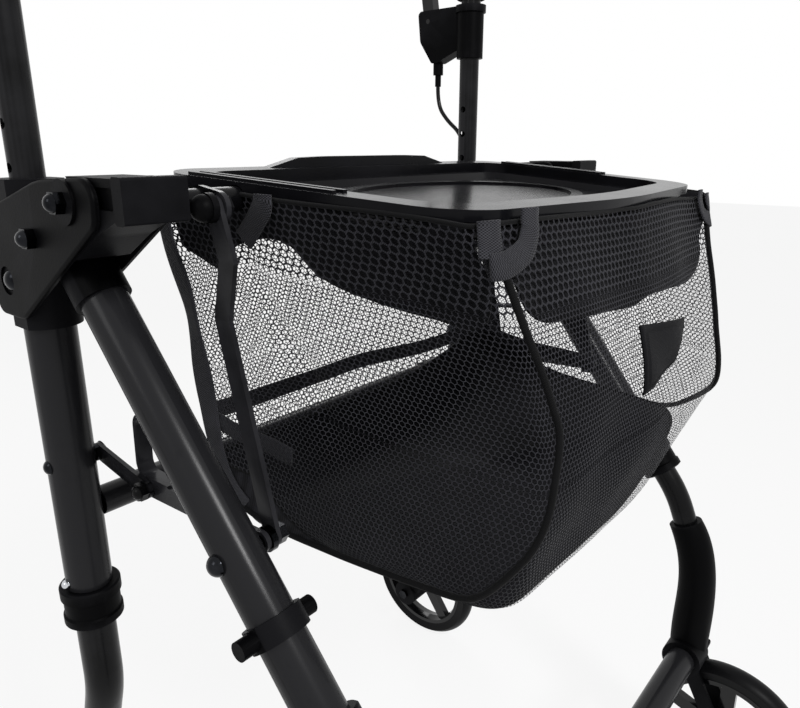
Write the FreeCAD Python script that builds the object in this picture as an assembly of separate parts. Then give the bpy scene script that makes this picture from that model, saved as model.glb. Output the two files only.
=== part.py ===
import FreeCAD, Part
import math
import os

# Folding four-wheel rollator with a lift-off tray over a mesh basket.
# Millimetres, +Z up, front towards -Y, the user's left hand on +X.
# The origin lies on the floor under the middle of the whole walker.
# "ahead" is a distance in front of the upright rear legs.

V = FreeCAD.Vector

# Side frames
HALF_TRACK = 238.0
TOE_IN_DEG = 2.9
LEG_SLOPE_DEG = 38.87
CROSSING_Z = 701.6
REAR_LEG_D = 31.75
REAR_LEG_WALL = 1.5
REAR_LEG_TOP = 667.0
REAR_LEG_BOTTOM = 366.0
REAR_INSERT_D = 27.8
INSERT_WALL = 1.5
REAR_INSERT_TOP = 446.0
REAR_BEND_Z = 296.0
REAR_BEND_R = 90.0
REAR_SETBACK = 75.0
REAR_SOCKET_REACH = 104.0
REAR_SOCKET_GRIP = 34.0
FRONT_LEG_D = 28.0
FRONT_LEG_WALL = 1.5
FRONT_INSERT_D = 22.2
FRONT_LEG_BOTTOM = 387.0
FRONT_INSERT_TOP = 455.0
FRONT_BEND_Z = 361.0
FRONT_BEND_R = 110.0
FRONT_LOWER_SLOPE_DEG = 22.0
FRONT_INSERT_BOTTOM = 296.0
SLIP = 0.08
GAP = 0.3
OVERRUN = 5.0

# Plastic collars and snap buttons
COLLAR_H = 30.0
COLLAR_WALL = 3.6
COLLAR_FLARE = 1.6
COLLAR_LIP = 8.0
COLLAR_ROUND = 1.2
REAR_SNAP_Z = 393.0
FRONT_SNAP_Z = 411.0
SNAP_R = 3.4
SNAP_PROUD = 2.6
SPRING_LEAF_T = 0.8
SPRING_LEAF_W = 6.0
SPRING_LEAF_L = 20.0
SPRING_LEAF_IN = 1.2

# Wheels
WHEEL_R = 82.5
TYRE_W = 24.0
TYRE_DEPTH = 16.0
TYRE_CROWN_R = 15.0
RIM_FLANGE = 5.0
RIM_W = 20.0
HUB_R = 15.0
HUB_W = 26.0
AXLE_R = 4.0
SPOKES = 5
SPOKE_W = 15.0
SPOKE_T = 9.0
REAR_WHEEL_OUT = 31.0

# Front brackets, cross tube and castors
CROSS_Z = 190.0
CROSS_STEP = 4.2
STEM_BACK = 5.0
FRONT_TUBE_D = 27.0
BARREL_R = 19.0
BARREL_OUT = 22.0
SOCKET_R = 15.5
SOCKET_L = 40.0
BRACKET_WAIST_R = 15.0
STEM_OUT = 33.0
STEM_R = 5.0
STEM_BOSS_R = 15.0
STEM_BOSS_H = 52.0
CASTOR_TRAIL = 45.0
CROWN_T = 7.0
CROWN_CLEAR = 3.5
FORK_LEG_T = 4.0
FORK_LEG_W = 16.0
PINCH_BOLT_R = 5.0
PINCH_BOLT_H = 3.5

# Main brackets, between rear leg, front leg and tray arm
PIVOT_AHEAD = 45.6
ARM_PIVOT_AHEAD = 91.0
ARM_PIVOT_Z = 667.0
COVER_HALF = 18.0
COVER_T = 3.6
COVER_ROUND = 2.2
NOSE_R = 15.0
NOSE_REACH = 31.0
NOSE_STEP_R = 12.0
NOSE_STEP_H = 1.6
BRACKET_BACK = 21.0
BRACKET_LOW = 592.0
CORE_R = 20.4
LID_H = 9.0
PIVOT_BOLT_R = 4.0
NUT_R = 6.4
NUT_H = 5.0
RECESS_R = 9.0
RECESS_DEPTH = 1.4
CORE_BOLT_Z = 615.0

# Tray arms, carrier ring and links
ARM_H = 20.0
ARM_LENGTH = 49.0
ARM_IN = 14.5
ARM_OUT = 17.6
ARM_FLANGE = 6.0
CHEEK_T = 3.0
PANEL_INSET = 2.0
PANEL_MARGIN = 4.5
SLEEVE_WALL = 2.4
SLEEVE_L = 62.0
FOLD_DEG = 16.0
RING_R = 7.0
STUB_AHEAD = 130.0
LINK_TOP_AHEAD = 146.0
LINK_TOP_Z = 664.0
LINK_FOOT_Z = 481.0
LINK_IN = 31.0
LINK_W = 12.5
FLAT_T = 3.0
KNOB_R = 8.4
KNOB_H = 13.0
LUG_W = 17.0

# Folding spreader between rear and front leg
SPREAD_W = 12.5
SPREAD_REAR_Z = 485.0
SPREAD_KNEE_AHEAD = 61.0
SPREAD_KNEE_Z = 475.0
SPREAD_FRONT_IN = 23.7
LOOP_W = 11.0
LOOP_RISE = 44.0
LOOP_REACH = 42.0
LOOP_R = 9.0
REAR_CROSS_Z = 447.0
REAR_CROSS_D = 21.0
BUMPER_D = 24.0
BUMPER_L = 35.0
BUMPER_IN = 43.0

# Handles
HANDLE_D = 20.5
HANDLE_WALL = 1.5
HANDLE_BOTTOM = 520.0
HANDLE_RISE = 106.0
HANDLE_BEND_R = 52.0
HANDLE_BACK = 150.0
HOLE_PITCH = 25.4
HOLE_R = 3.2
HOLE_FIRST_Z = 733.0
HOLES = 6
BUSH_H = 14.0
GRIP_D = 31.6
GRIP_CLEAR = 5.0
GRIP_END = 4.0
HOUSING_D = 28.0
HOUSING_BOTTOM = 785.0
HOUSING_H = 45.0
HOUSING_RING_H = 7.0
HOUSING_RING_D = 32.0
LEAF_BACK = 57.0
LEAF_W = 16.0
CABLE_BACK = 42.0
BARREL_D = 11.0
BARREL_DROP = 2.0
FERRULE_D = 6.6
BARREL_L = 12.0
FERRULE_L = 12.0
CABLE_D = 4.4
CABLE_SLOT_L = 24.0
CABLE_SLOT_W = 6.4
LEVER_PIVOT_BACK = 51.0
LEVER_PIVOT_DROP = 4.0
LEVER_T = 11.0
LEVER_W = 14.0
LEVER_REACH = 92.0
LEVER_RISE = 72.0
LEVER_PIN_R = 2.5
LOCK_KNOB_Z = 637.0
LOCK_KNOB_R = 13.0
LOCK_KNOB_H = 17.0
LOCK_PIN_R = 3.0
LOCK_PIN_CLEAR = 2.5

# Parking and squeeze brake on the rear wheels
SHOE_ANGLE_DEG = 55.0
SHOE_SPAN_DEG = 22.0
SHOE_CLEAR = 2.2
SHOE_T = 7.0
SHOE_PIVOT_UP = 92.0
SHOE_PIVOT_OFF = 19.5
SHOE_BOSS_R = 8.0
SHOE_PIN_R = 3.0
SHOE_ARM_W = 13.0

# Tray
TRAY_REAR_AHEAD = 57.0
TRAY_FRONT_AHEAD = 275.0
TRAY_SIDE_GAP = 48.0
TRAY_NARROWS = 27.0
TRAY_BOW = 15.0
TRAY_BOW_R = 400.0
TRAY_TILT_DEG = 4.0
TRAY_REAR_Z = 681.0
TRAY_REAR_CORNER_R = 30.0
TRAY_FRONT_CORNER_R = 40.0
TRAY_LIP_H = 6.0
TRAY_LIP_W = 20.0
TRAY_WALL = 2.2
TRAY_DEPTH = 12.5
TRAY_STEP = 6.0
TRAY_STEP_DROP = 8.0
TRAY_RIB_H = 1.6
TRAY_RIB_W = 3.4
TRAY_OVAL_W = 9.0
TRAY_OVAL_H = 2.0
TRAY_CUP_R = 14.0
TRAY_CUP_DEPTH = 3.0
HUMP_HALF = 104.0
HUMP_H = 6.5
HUMP_T = 9.0

# Basket
BASKET_WALL = 2.2
BASKET_PROUD = 0.5
BASKET_HEM_W = 16.0
BASKET_DEPTH = 218.4
BASKET_BELLY = 30.0
BASKET_CORNER_R = 30.0
BASKET_ROWS = 5
BASKET_SIDE_HOLES = 8
BASKET_END_HOLES = 9
BASKET_OPEN = 0.76

# Clip on the right front leg
CLIP_Z = 447.0
CLIP_H = 13.0
CLIP_T = 3.0
CLIP_EAR = 9.0

# Route of the brake cable beside and inside the handle tube, as (behind, below the ferrule)
CABLE_PLACES = [
    (42.0, 0.0), (42.0, 19.0), (29.0, 36.0), (10.0, 50.0),
    (2.5, 71.0), (3.5, 119.0), (2.5, 163.0),
]

SLOPE = math.tan(math.radians(LEG_SLOPE_DEG))
TOE = math.tan(math.radians(TOE_IN_DEG))
TILT = math.tan(math.radians(TRAY_TILT_DEG))
REAR_R = REAR_LEG_D / 2
FRONT_R = FRONT_LEG_D / 2
INSERT_END_AHEAD = ((CROSSING_Z - FRONT_BEND_Z) * SLOPE
                    + (FRONT_BEND_Z - FRONT_INSERT_BOTTOM) * math.tan(math.radians(FRONT_LOWER_SLOPE_DEG)))
CROSS_AHEAD = INSERT_END_AHEAD + CROSS_STEP
STEM_AHEAD = CROSS_AHEAD - STEM_BACK
FRONT_REACH = STEM_AHEAD + CASTOR_TRAIL + WHEEL_R
REAR_REACH = REAR_SETBACK + WHEEL_R
LEG_Y = (FRONT_REACH - REAR_REACH) / 2
LINK_X = HALF_TRACK - LINK_IN
SPREAD_FRONT_X = HALF_TRACK - SPREAD_FRONT_IN
TRAY_REAR_HALF = HALF_TRACK - TRAY_SIDE_GAP
TRAY_FRONT_HALF = TRAY_REAR_HALF - TRAY_NARROWS
RING_DROP = TRAY_WALL + RING_R + GAP
RING_INSET = TRAY_LIP_W / 2
BASKET_DROP = TRAY_LIP_H + GAP
LEDGE_DROP = RING_DROP + RING_R + GAP
HOUSING_TOP = HOUSING_BOTTOM + HOUSING_H
HANDLE_TOP = HOUSING_TOP + HANDLE_RISE
GRIP_BOTTOM = HOUSING_TOP + HOUSING_RING_H + GRIP_CLEAR
BARREL_TOP = HOUSING_BOTTOM - BARREL_DROP
FERRULE_TOP = BARREL_TOP - BARREL_L
FERRULE_BOTTOM = FERRULE_TOP - FERRULE_L
LEVER_PIVOT_Z = HOUSING_TOP - LEVER_PIVOT_DROP
SIDES = (("left", 1), ("right", -1))


def point(x, ahead, z):
    return V(x, LEG_Y - ahead, z)


def leg_ahead(z):
    """Distance ahead of the rear leg at which the front leg's axis has height z."""
    return (CROSSING_Z - z) * SLOPE


def leg_x(ahead):
    """Half spacing of the front legs, which come closer together in front of their pivots."""
    return HALF_TRACK - (ahead - PIVOT_AHEAD) * TOE


def leg_point(side, z):
    ahead = leg_ahead(z)
    return point(side * leg_x(ahead), ahead, z)


PIVOT_Z = CROSSING_Z - PIVOT_AHEAD / SLOPE
LEG_DIR = (leg_point(1, FRONT_LEG_BOTTOM) - leg_point(1, PIVOT_Z)).normalize()
LINK_FOOT_AHEAD = leg_ahead(LINK_FOOT_Z)
LEG_TURN = math.radians(LEG_SLOPE_DEG)


def rod(a, b, radius):
    along = b - a
    return Part.makeCylinder(radius, along.Length, a, along)


def pipe_piece(a, b, outer, inner):
    """Straight tube from a to b, cut clean through."""
    along = (b - a).normalize() * OVERRUN
    return rod(a, b, outer).cut(rod(a - along, b + along, inner))


def cross_rod(side, ahead, z, x_in, x_out, radius):
    """Rod across the walker between two distances from its middle."""
    return rod(point(side * x_in, ahead, z), point(side * x_out, ahead, z), radius)


def rounded_corner(before, corner, after, radius):
    """Start, middle and end of the arc that rounds a corner of a path."""
    to_before = (before - corner).normalize()
    to_after = (after - corner).normalize()
    half = to_before.getAngle(to_after) / 2
    bisector = (to_before + to_after).normalize()
    reach = radius / math.tan(half)
    centre = corner + bisector * (radius / math.sin(half))
    return corner + to_before * reach, centre - bisector * radius, corner + to_after * reach


def path(points, radii):
    """Open wire of straight runs joined by tangent arcs."""
    edges = []
    start = points[0]
    for i, radius in enumerate(radii, 1):
        a, middle, b = rounded_corner(points[i - 1], points[i], points[i + 1], radius)
        edges.append(Part.LineSegment(start, a).toShape())
        edges.append(Part.Arc(a, middle, b).toShape())
        start = b
    edges.append(Part.LineSegment(start, points[-1]).toShape())
    return Part.Wire(edges)


def outline(points, radii):
    """Closed wire of straight runs joined by tangent arcs, one radius a corner."""
    n = len(points)
    arcs = [rounded_corner(points[i - 1], points[i], points[(i + 1) % n], radii[i]) for i in range(n)]
    edges = []
    for i, (a, middle, b) in enumerate(arcs):
        edges.append(Part.Arc(a, middle, b).toShape())
        edges.append(Part.LineSegment(b, arcs[(i + 1) % n][0]).toShape())
    return Part.Wire(edges)


def swept(wire, radius):
    """Round bar along a path."""
    first = wire.OrderedEdges[0]
    start = first.valueAt(first.FirstParameter)
    heading = first.tangentAt(first.FirstParameter)
    ring = Part.Wire([Part.makeCircle(radius, start, heading)])
    return wire.makePipeShell([ring], True, False)


def bent_tube(points, radii, outer, inner):
    wire = path(points, radii)
    return swept(wire, outer).cut(swept(wire, inner))


def side_plate(side, places, radii, x_in, x_out):
    """Plate with an (ahead, z) outline, between two distances from the middle."""
    wire = outline([point(side * x_in, ahead, z) for ahead, z in places], radii)
    return Part.Face(wire).extrude(V(side * (x_out - x_in), 0, 0))


def strap(side, places, width, x_in, x_out):
    """Flat bar with round ends through (ahead, z) places."""
    body = None
    for (a0, z0), (a1, z1) in zip(places, places[1:]):
        run = math.hypot(a1 - a0, z1 - z0)
        across = V(0, z1 - z0, a1 - a0) * (width / 2 / run)
        p, q = point(side * x_in, a0, z0), point(side * x_in, a1, z1)
        wire = Part.makePolygon([p + across, q + across, q - across, p - across, p + across])
        piece = Part.Face(wire).extrude(V(side * (x_out - x_in), 0, 0))
        ends = [cross_rod(side, a, z, x_in, x_out, width / 2) for a, z in ((a0, z0), (a1, z1))]
        piece = piece.fuse(ends)
        body = piece if body is None else body.fuse(piece)
    return body.removeSplitter()


def dome_head(side, ahead, z, x_seat, radius, height, outward=1):
    """Domed bolt head or cap nut, its flat side at x_seat."""
    ball_r = (radius ** 2 + height ** 2) / (2 * height)
    centre_x = x_seat + outward * (height - ball_r)
    ball = Part.makeSphere(ball_r, point(side * centre_x, ahead, z))
    return ball.common(cross_rod(side, ahead, z, x_seat, x_seat + outward * (height + OVERRUN), radius))


def hex_nut(side, ahead, z, x_seat, radius, height, outward=1):
    corners = [
        point(side * x_seat, ahead + radius * math.cos(i * math.pi / 3), z + radius * math.sin(i * math.pi / 3))
        for i in range(7)
    ]
    return Part.Face(Part.makePolygon(corners)).extrude(V(side * outward * height, 0, 0))


def cap_nut(side, ahead, z, x_seat, outward=1):
    """Hexagon nut with a polished dome, on a pivot bolt."""
    nut = hex_nut(side, ahead, z, x_seat, NUT_R, NUT_H, outward)
    dome = dome_head(side, ahead, z, x_seat + outward * NUT_H, NUT_R * 0.8, NUT_H * 0.8, outward)
    return nut.fuse(dome)


def spun(a, b, profile):
    """Solid of revolution about the line from a to b; profile gives (along, radius)."""
    along = (b - a).normalize()
    out = along.cross(V(1, 0, 0)).normalize()
    points = [a + along * s + out * r for s, r in profile]
    return Part.Face(Part.makePolygon(points + points[:1])).revolve(a, along, 360)


def collar(a, b, tube_r, insert_r):
    """Moulded collar over the end of an outer tube, closing on the smaller tube in it."""
    length = (b - a).Length
    outer, band = tube_r + COLLAR_WALL, tube_r + COLLAR_WALL + COLLAR_FLARE
    bore, neck = tube_r + SLIP, insert_r + SLIP
    step = COLLAR_ROUND
    return spun(a, b, [
        (0, bore), (0, band - step), (step, band), (length / 3 - step, band), (length / 3, outer),
        (length - COLLAR_LIP, outer), (length - COLLAR_LIP + step, outer + step),
        (length - step, outer + step), (length, outer - step), (length, neck),
        (length - COLLAR_LIP, neck), (length - COLLAR_LIP, bore),
    ])


def leg_axis(side):
    return V(side * LEG_DIR.x, LEG_DIR.y, LEG_DIR.z)


def snap_button(side, centre, insert_r, face_r, lean):
    """Sprung steel button that locks an insert, pointing outwards from the walker."""
    x, ahead, z = abs(centre.x), LEG_Y - centre.y, centre.z
    inside = x + insert_r - INSERT_WALL - SPRING_LEAF_IN
    shank = cross_rod(side, ahead, z, inside, x + face_r + SNAP_PROUD / 2, SNAP_R)
    dome = dome_head(side, ahead, z, x + face_r + SNAP_PROUD / 2, SNAP_R, SNAP_PROUD)
    da, dz = math.sin(lean) * SPRING_LEAF_L / 2, math.cos(lean) * SPRING_LEAF_L / 2
    leaf = strap(side, [(ahead - da, z + dz), (ahead + da, z - dz)], SPRING_LEAF_W, inside - SPRING_LEAF_T, inside)
    return shank.fuse([dome, leaf])


def rear_leg(side):
    """Upright outer tube of a side frame with its bent insert below, as two solids."""
    top, bottom = point(side * HALF_TRACK, 0, REAR_LEG_TOP), point(side * HALF_TRACK, 0, REAR_LEG_BOTTOM)
    leg = pipe_piece(bottom, top, REAR_R, REAR_R - REAR_LEG_WALL)
    insert_r = REAR_INSERT_D / 2
    insert = bent_tube(rear_insert_places(side), [REAR_BEND_R], insert_r, insert_r - INSERT_WALL)
    snap = cross_rod(side, 0, REAR_SNAP_Z, HALF_TRACK, HALF_TRACK + REAR_R + OVERRUN, SNAP_R + GAP)
    x_in, x_out = HALF_TRACK - REAR_R - OVERRUN, HALF_TRACK + REAR_R + OVERRUN
    cuts = [cross_rod(side, 0, z, x_in, x_out, PIVOT_BOLT_R + SLIP) for z in (SPREAD_REAR_Z, CORE_BOLT_Z)]
    return Part.makeCompound([leg.cut(cuts + [lock_hole(side), snap]), insert.cut(snap)])


def lock_hole(side):
    """Hole through the back of leg and boot for the knob's screw."""
    x = side * HALF_TRACK
    return rod(point(x, 0, LOCK_KNOB_Z), point(x, -CORE_R - OVERRUN, LOCK_KNOB_Z), LOCK_PIN_R + GAP)


def rear_insert_places(side):
    """Places of the insert: upright, then leaning back towards the wheel's axle."""
    x = side * HALF_TRACK
    axle = point(x, -REAR_SETBACK, WHEEL_R)
    corner = point(x, 0, REAR_BEND_Z)
    end = axle + (corner - axle).normalize() * (REAR_SOCKET_REACH - REAR_SOCKET_GRIP)
    return [point(x, 0, REAR_INSERT_TOP), corner, end]


def front_insert_places(side):
    """Places of the front insert: along the leg, then steeper into the front bracket."""
    lower = math.tan(math.radians(FRONT_LOWER_SLOPE_DEG))
    ahead = leg_ahead(FRONT_BEND_Z)
    end_ahead = ahead + (FRONT_BEND_Z - FRONT_INSERT_BOTTOM) * lower
    return [
        leg_point(side, FRONT_INSERT_TOP),
        leg_point(side, FRONT_BEND_Z),
        point(side * leg_x(ahead), end_ahead, FRONT_INSERT_BOTTOM),
    ]


def leg_top(side):
    return leg_point(side, PIVOT_Z) - leg_axis(side) * FRONT_R * 1.15


def front_leg(side):
    """Sloping outer tube with its bent insert below, as two solids."""
    leg = pipe_piece(leg_top(side), leg_point(side, FRONT_LEG_BOTTOM), FRONT_R, FRONT_R - FRONT_LEG_WALL)
    insert_r = FRONT_INSERT_D / 2
    insert = bent_tube(front_insert_places(side), [FRONT_BEND_R], insert_r, insert_r - INSERT_WALL)
    far = HALF_TRACK + REAR_R + OVERRUN
    pivot = cross_rod(side, PIVOT_AHEAD, PIVOT_Z, LINK_X, far, PIVOT_BOLT_R + SLIP)
    foot = cross_rod(side, LINK_FOOT_AHEAD, LINK_FOOT_Z, LINK_X, far, PIVOT_BOLT_R + SLIP)
    snap_ahead = leg_ahead(FRONT_SNAP_Z)
    snap = cross_rod(side, snap_ahead, FRONT_SNAP_Z, leg_x(snap_ahead), far, SNAP_R + GAP)
    return Part.makeCompound([leg.cut([pivot, foot, snap]), insert.cut(snap)])


def rear_collars():
    pieces = []
    for _, side in SIDES:
        low = REAR_LEG_BOTTOM - COLLAR_LIP
        a, b = point(side * HALF_TRACK, 0, low + COLLAR_H), point(side * HALF_TRACK, 0, low)
        pieces.append(collar(a, b, REAR_R, REAR_INSERT_D / 2))
    return Part.makeCompound(pieces)


def front_collars():
    pieces = []
    for _, side in SIDES:
        b = leg_point(side, FRONT_LEG_BOTTOM) + leg_axis(side) * COLLAR_LIP
        pieces.append(collar(b - leg_axis(side) * COLLAR_H, b, FRONT_R, FRONT_INSERT_D / 2))
    return Part.makeCompound(pieces)


def wheel_x(front):
    return HALF_TRACK + REAR_WHEEL_OUT if not front else leg_x(STEM_AHEAD) + STEM_OUT


def wheel_centre(side, front):
    if front:
        return point(side * wheel_x(True), STEM_AHEAD + CASTOR_TRAIL, WHEEL_R)
    return point(side * wheel_x(False), -REAR_SETBACK, WHEEL_R)


def turned(profile, centre):
    """Solid of revolution about a crosswise axle; profile gives (sideways, radius)."""
    points = [centre + V(x, 0, r) for x, r in profile]
    wire = Part.makePolygon(points + points[:1])
    return Part.Face(wire).revolve(centre, V(1, 0, 0), 360)


def tyre(side, front):
    """Solid rubber tyre with a round crown."""
    centre = wheel_centre(side, front)
    inner = WHEEL_R - TYRE_DEPTH
    half = TYRE_W / 2
    shoulder = WHEEL_R - (TYRE_CROWN_R - math.sqrt(TYRE_CROWN_R ** 2 - half ** 2))
    a, top, b = centre + V(-half, 0, shoulder), centre + V(0, 0, WHEEL_R), centre + V(half, 0, shoulder)
    edges = [Part.Arc(a, top, b).toShape()]
    low = [centre + V(half * 0.8, 0, inner), centre + V(-half * 0.8, 0, inner)]
    for p, q in ((b, low[0]), (low[0], low[1]), (low[1], a)):
        edges.append(Part.LineSegment(p, q).toShape())
    return Part.Face(Part.Wire(edges)).revolve(centre, V(1, 0, 0), 360)


def rim(side, front):
    """Moulded wheel: hub, five dished spokes and the ring that carries the tyre."""
    centre = wheel_centre(side, front)
    seat = WHEEL_R - TYRE_DEPTH - GAP / 3
    ring = turned([(-RIM_W / 2, seat), (RIM_W / 2, seat), (RIM_W / 2, seat - RIM_FLANGE),
                   (0, seat - RIM_FLANGE * 1.5), (-RIM_W / 2, seat - RIM_FLANGE)], centre)
    hub = rod(centre - V(HUB_W / 2, 0, 0), centre + V(HUB_W / 2, 0, 0), HUB_R)
    spokes = []
    for i in range(SPOKES):
        spoke = Part.makeBox(SPOKE_T, SPOKE_W, seat - RIM_FLANGE - HUB_R / 2)
        spoke.translate(centre + V(-SPOKE_T / 2, -SPOKE_W / 2, HUB_R / 2))
        groove = Part.makeBox(SPOKE_T / 4, SPOKE_W / 2, seat - RIM_FLANGE * 2 - HUB_R)
        groove.translate(centre + V(-SPOKE_T / 2 if side < 0 else SPOKE_T / 4, -SPOKE_W / 4, HUB_R))
        spoke = spoke.cut(groove)
        spoke.rotate(centre, V(1, 0, 0), 360 * i / SPOKES)
        spokes.append(spoke)
    wheel = ring.fuse([hub] + spokes)
    bore = rod(centre - V(HUB_W, 0, 0), centre + V(HUB_W, 0, 0), AXLE_R + SLIP)
    return wheel.cut(bore).removeSplitter()


def front_bracket(side):
    """Moulded front bracket: socket for the leg, bowed body, barrel for the cross tube
    and an upright boss for the castor's stem."""
    places = front_insert_places(side)
    corner, end = places[1], places[2]
    down = (end - corner).normalize()
    mouth = end - down * SOCKET_L
    x_leg = abs(end.x)
    barrel = cross_rod(side, CROSS_AHEAD, CROSS_Z, x_leg - BARREL_OUT, x_leg + BARREL_OUT / 4, BARREL_R)
    waist = point(end.x, LEG_Y - end.y + BRACKET_WAIST_R * 0.3, (end.z + CROSS_Z) / 2)
    body = Part.makeLoft([
        Part.Wire([Part.makeCircle(SOCKET_R, mouth, down)]),
        Part.Wire([Part.makeCircle(SOCKET_R * 1.12, end, down)]),
        Part.Wire([Part.makeCircle(SOCKET_R * 1.18, waist, V(0, 0, -1))]),
        Part.Wire([Part.makeCircle(SOCKET_R * 1.12, point(end.x, CROSS_AHEAD, CROSS_Z), V(0, 0, -1))]),
    ], True)
    stem_x, crown = wheel_x(True), crown_top()
    boss = rod(point(side * stem_x, STEM_AHEAD, crown + GAP),
               point(side * stem_x, STEM_AHEAD, crown + STEM_BOSS_H), STEM_BOSS_R)
    bridge = side_plate(side, [
        (STEM_AHEAD - STEM_BOSS_R * 0.7, crown + BARREL_R * 0.3),
        (STEM_AHEAD + STEM_BOSS_R * 0.9, crown + BARREL_R * 0.3),
        (STEM_AHEAD + STEM_BOSS_R * 0.9, crown + STEM_BOSS_H * 0.9),
        (STEM_AHEAD - STEM_BOSS_R * 0.7, crown + STEM_BOSS_H * 0.9),
    ], [STEM_BOSS_R / 3] * 4, x_leg, stem_x)
    solid = barrel.fuse([body, boss, bridge])
    tube_hole = cross_rod(side, CROSS_AHEAD, CROSS_Z, 0, x_leg + BARREL_OUT / 8, FRONT_TUBE_D / 2 + SLIP)
    leg_hole = rod(corner - down * OVERRUN, end, FRONT_INSERT_D / 2 + SLIP)
    stem_hole = rod(point(side * stem_x, STEM_AHEAD, crown - OVERRUN),
                    point(side * stem_x, STEM_AHEAD, crown + STEM_BOSS_H - STEM_R), STEM_R + SLIP)
    solid = solid.cut([tube_hole, leg_hole, stem_hole])
    bolts = []
    for share in (0.3, 0.75):
        spot = mouth + down * SOCKET_L * share
        ahead = LEG_Y - spot.y
        bolts.append(cross_rod(side, ahead, spot.z, abs(spot.x) + SOCKET_R * 0.9,
                               abs(spot.x) + SOCKET_R + PINCH_BOLT_H, PINCH_BOLT_R))
    return solid.fuse(bolts).removeSplitter()


def crown_top():
    return 2 * WHEEL_R + CROWN_CLEAR + CROWN_T


def front_cross_tube():
    ends = [point(side * leg_x(CROSS_AHEAD), CROSS_AHEAD, CROSS_Z) for side in (-1, 1)]
    r = FRONT_TUBE_D / 2
    return pipe_piece(ends[0], ends[1], r, r - FRONT_LEG_WALL)


def castor_fork(side):
    """Fork with its stem, and the axle bolt as a second solid."""
    centre = wheel_centre(side, True)
    x, top = abs(centre.x), crown_top()
    stem = rod(point(side * x, STEM_AHEAD, top - CROWN_T), point(side * x, STEM_AHEAD, top + STEM_BOSS_H * 0.8),
               STEM_R)
    half = HUB_W / 2 + GAP
    crown = side_plate(side, [
        (STEM_AHEAD - FORK_LEG_W, top - CROWN_T), (STEM_AHEAD + FORK_LEG_W, top - CROWN_T),
        (STEM_AHEAD + FORK_LEG_W, top), (STEM_AHEAD - FORK_LEG_W, top),
    ], [CROWN_T / 3] * 4, x - half - FORK_LEG_T, x + half + FORK_LEG_T)
    legs = []
    for inner in (x - half - FORK_LEG_T, x + half):
        legs.append(strap(side, [(STEM_AHEAD, top - FORK_LEG_W / 2 - GAP), (STEM_AHEAD + CASTOR_TRAIL, WHEEL_R)],
                          FORK_LEG_W, inner, inner + FORK_LEG_T))
    fork = stem.fuse([crown] + legs)
    fork = fork.cut(rod(point(side * (x - half * 2), STEM_AHEAD + CASTOR_TRAIL, WHEEL_R),
                        point(side * (x + half * 2), STEM_AHEAD + CASTOR_TRAIL, WHEEL_R), AXLE_R + SLIP))
    return Part.makeCompound([fork.removeSplitter(), axle_bolt(side, centre, half + FORK_LEG_T)])


def axle_bolt(side, centre, half):
    """Axle through a fork or hub with a domed head and a nut."""
    ahead = LEG_Y - centre.y
    x = abs(centre.x)
    shank = cross_rod(side, ahead, centre.z, x - half, x + half, AXLE_R)
    head = dome_head(side, ahead, centre.z, x + half, AXLE_R * 1.9, AXLE_R)
    nut = hex_nut(side, ahead, centre.z, x - half, AXLE_R * 1.7, AXLE_R, -1)
    return shank.fuse([head, nut])


def rear_axle_bracket(side):
    """Moulded boot on the rear insert with the boss that carries the axle and the shoe's pin."""
    end = rear_insert_places(side)[2]
    axle = point(side * HALF_TRACK, -REAR_SETBACK, WHEEL_R)
    up = (end - axle).normalize()
    mouth = axle + up * REAR_SOCKET_REACH
    boot_r = REAR_INSERT_D / 2 + COLLAR_WALL
    boot = rod(axle + up * boot_r / 2, mouth, boot_r)
    x_in, x_out = HALF_TRACK - boot_r, HALF_TRACK + boot_r
    boss = cross_rod(side, -REAR_SETBACK, WHEEL_R, x_in, x_out, boot_r * 0.97)
    pin = shoe_pivot(side)
    ear = cross_rod(side, LEG_Y - pin.y, pin.z, HALF_TRACK, x_out, SHOE_BOSS_R)
    solid = boot.fuse([boss, ear])
    socket = rod(end, mouth + up * OVERRUN * 3, REAR_INSERT_D / 2 + SLIP)
    hole = cross_rod(side, -REAR_SETBACK, WHEEL_R, x_in - OVERRUN, x_out + OVERRUN, AXLE_R + SLIP)
    ear_hole = cross_rod(side, LEG_Y - pin.y, pin.z, HALF_TRACK - OVERRUN, x_out + OVERRUN, SHOE_PIN_R + SLIP)
    return solid.cut([socket, hole, ear_hole])


def shoe_pivot(side):
    axle = point(side * HALF_TRACK, -REAR_SETBACK, WHEEL_R)
    up = (rear_insert_places(side)[1] - axle).normalize()
    fore = V(0, -up.z, up.y)
    return axle + up * SHOE_PIVOT_UP + fore * SHOE_PIVOT_OFF


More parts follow.
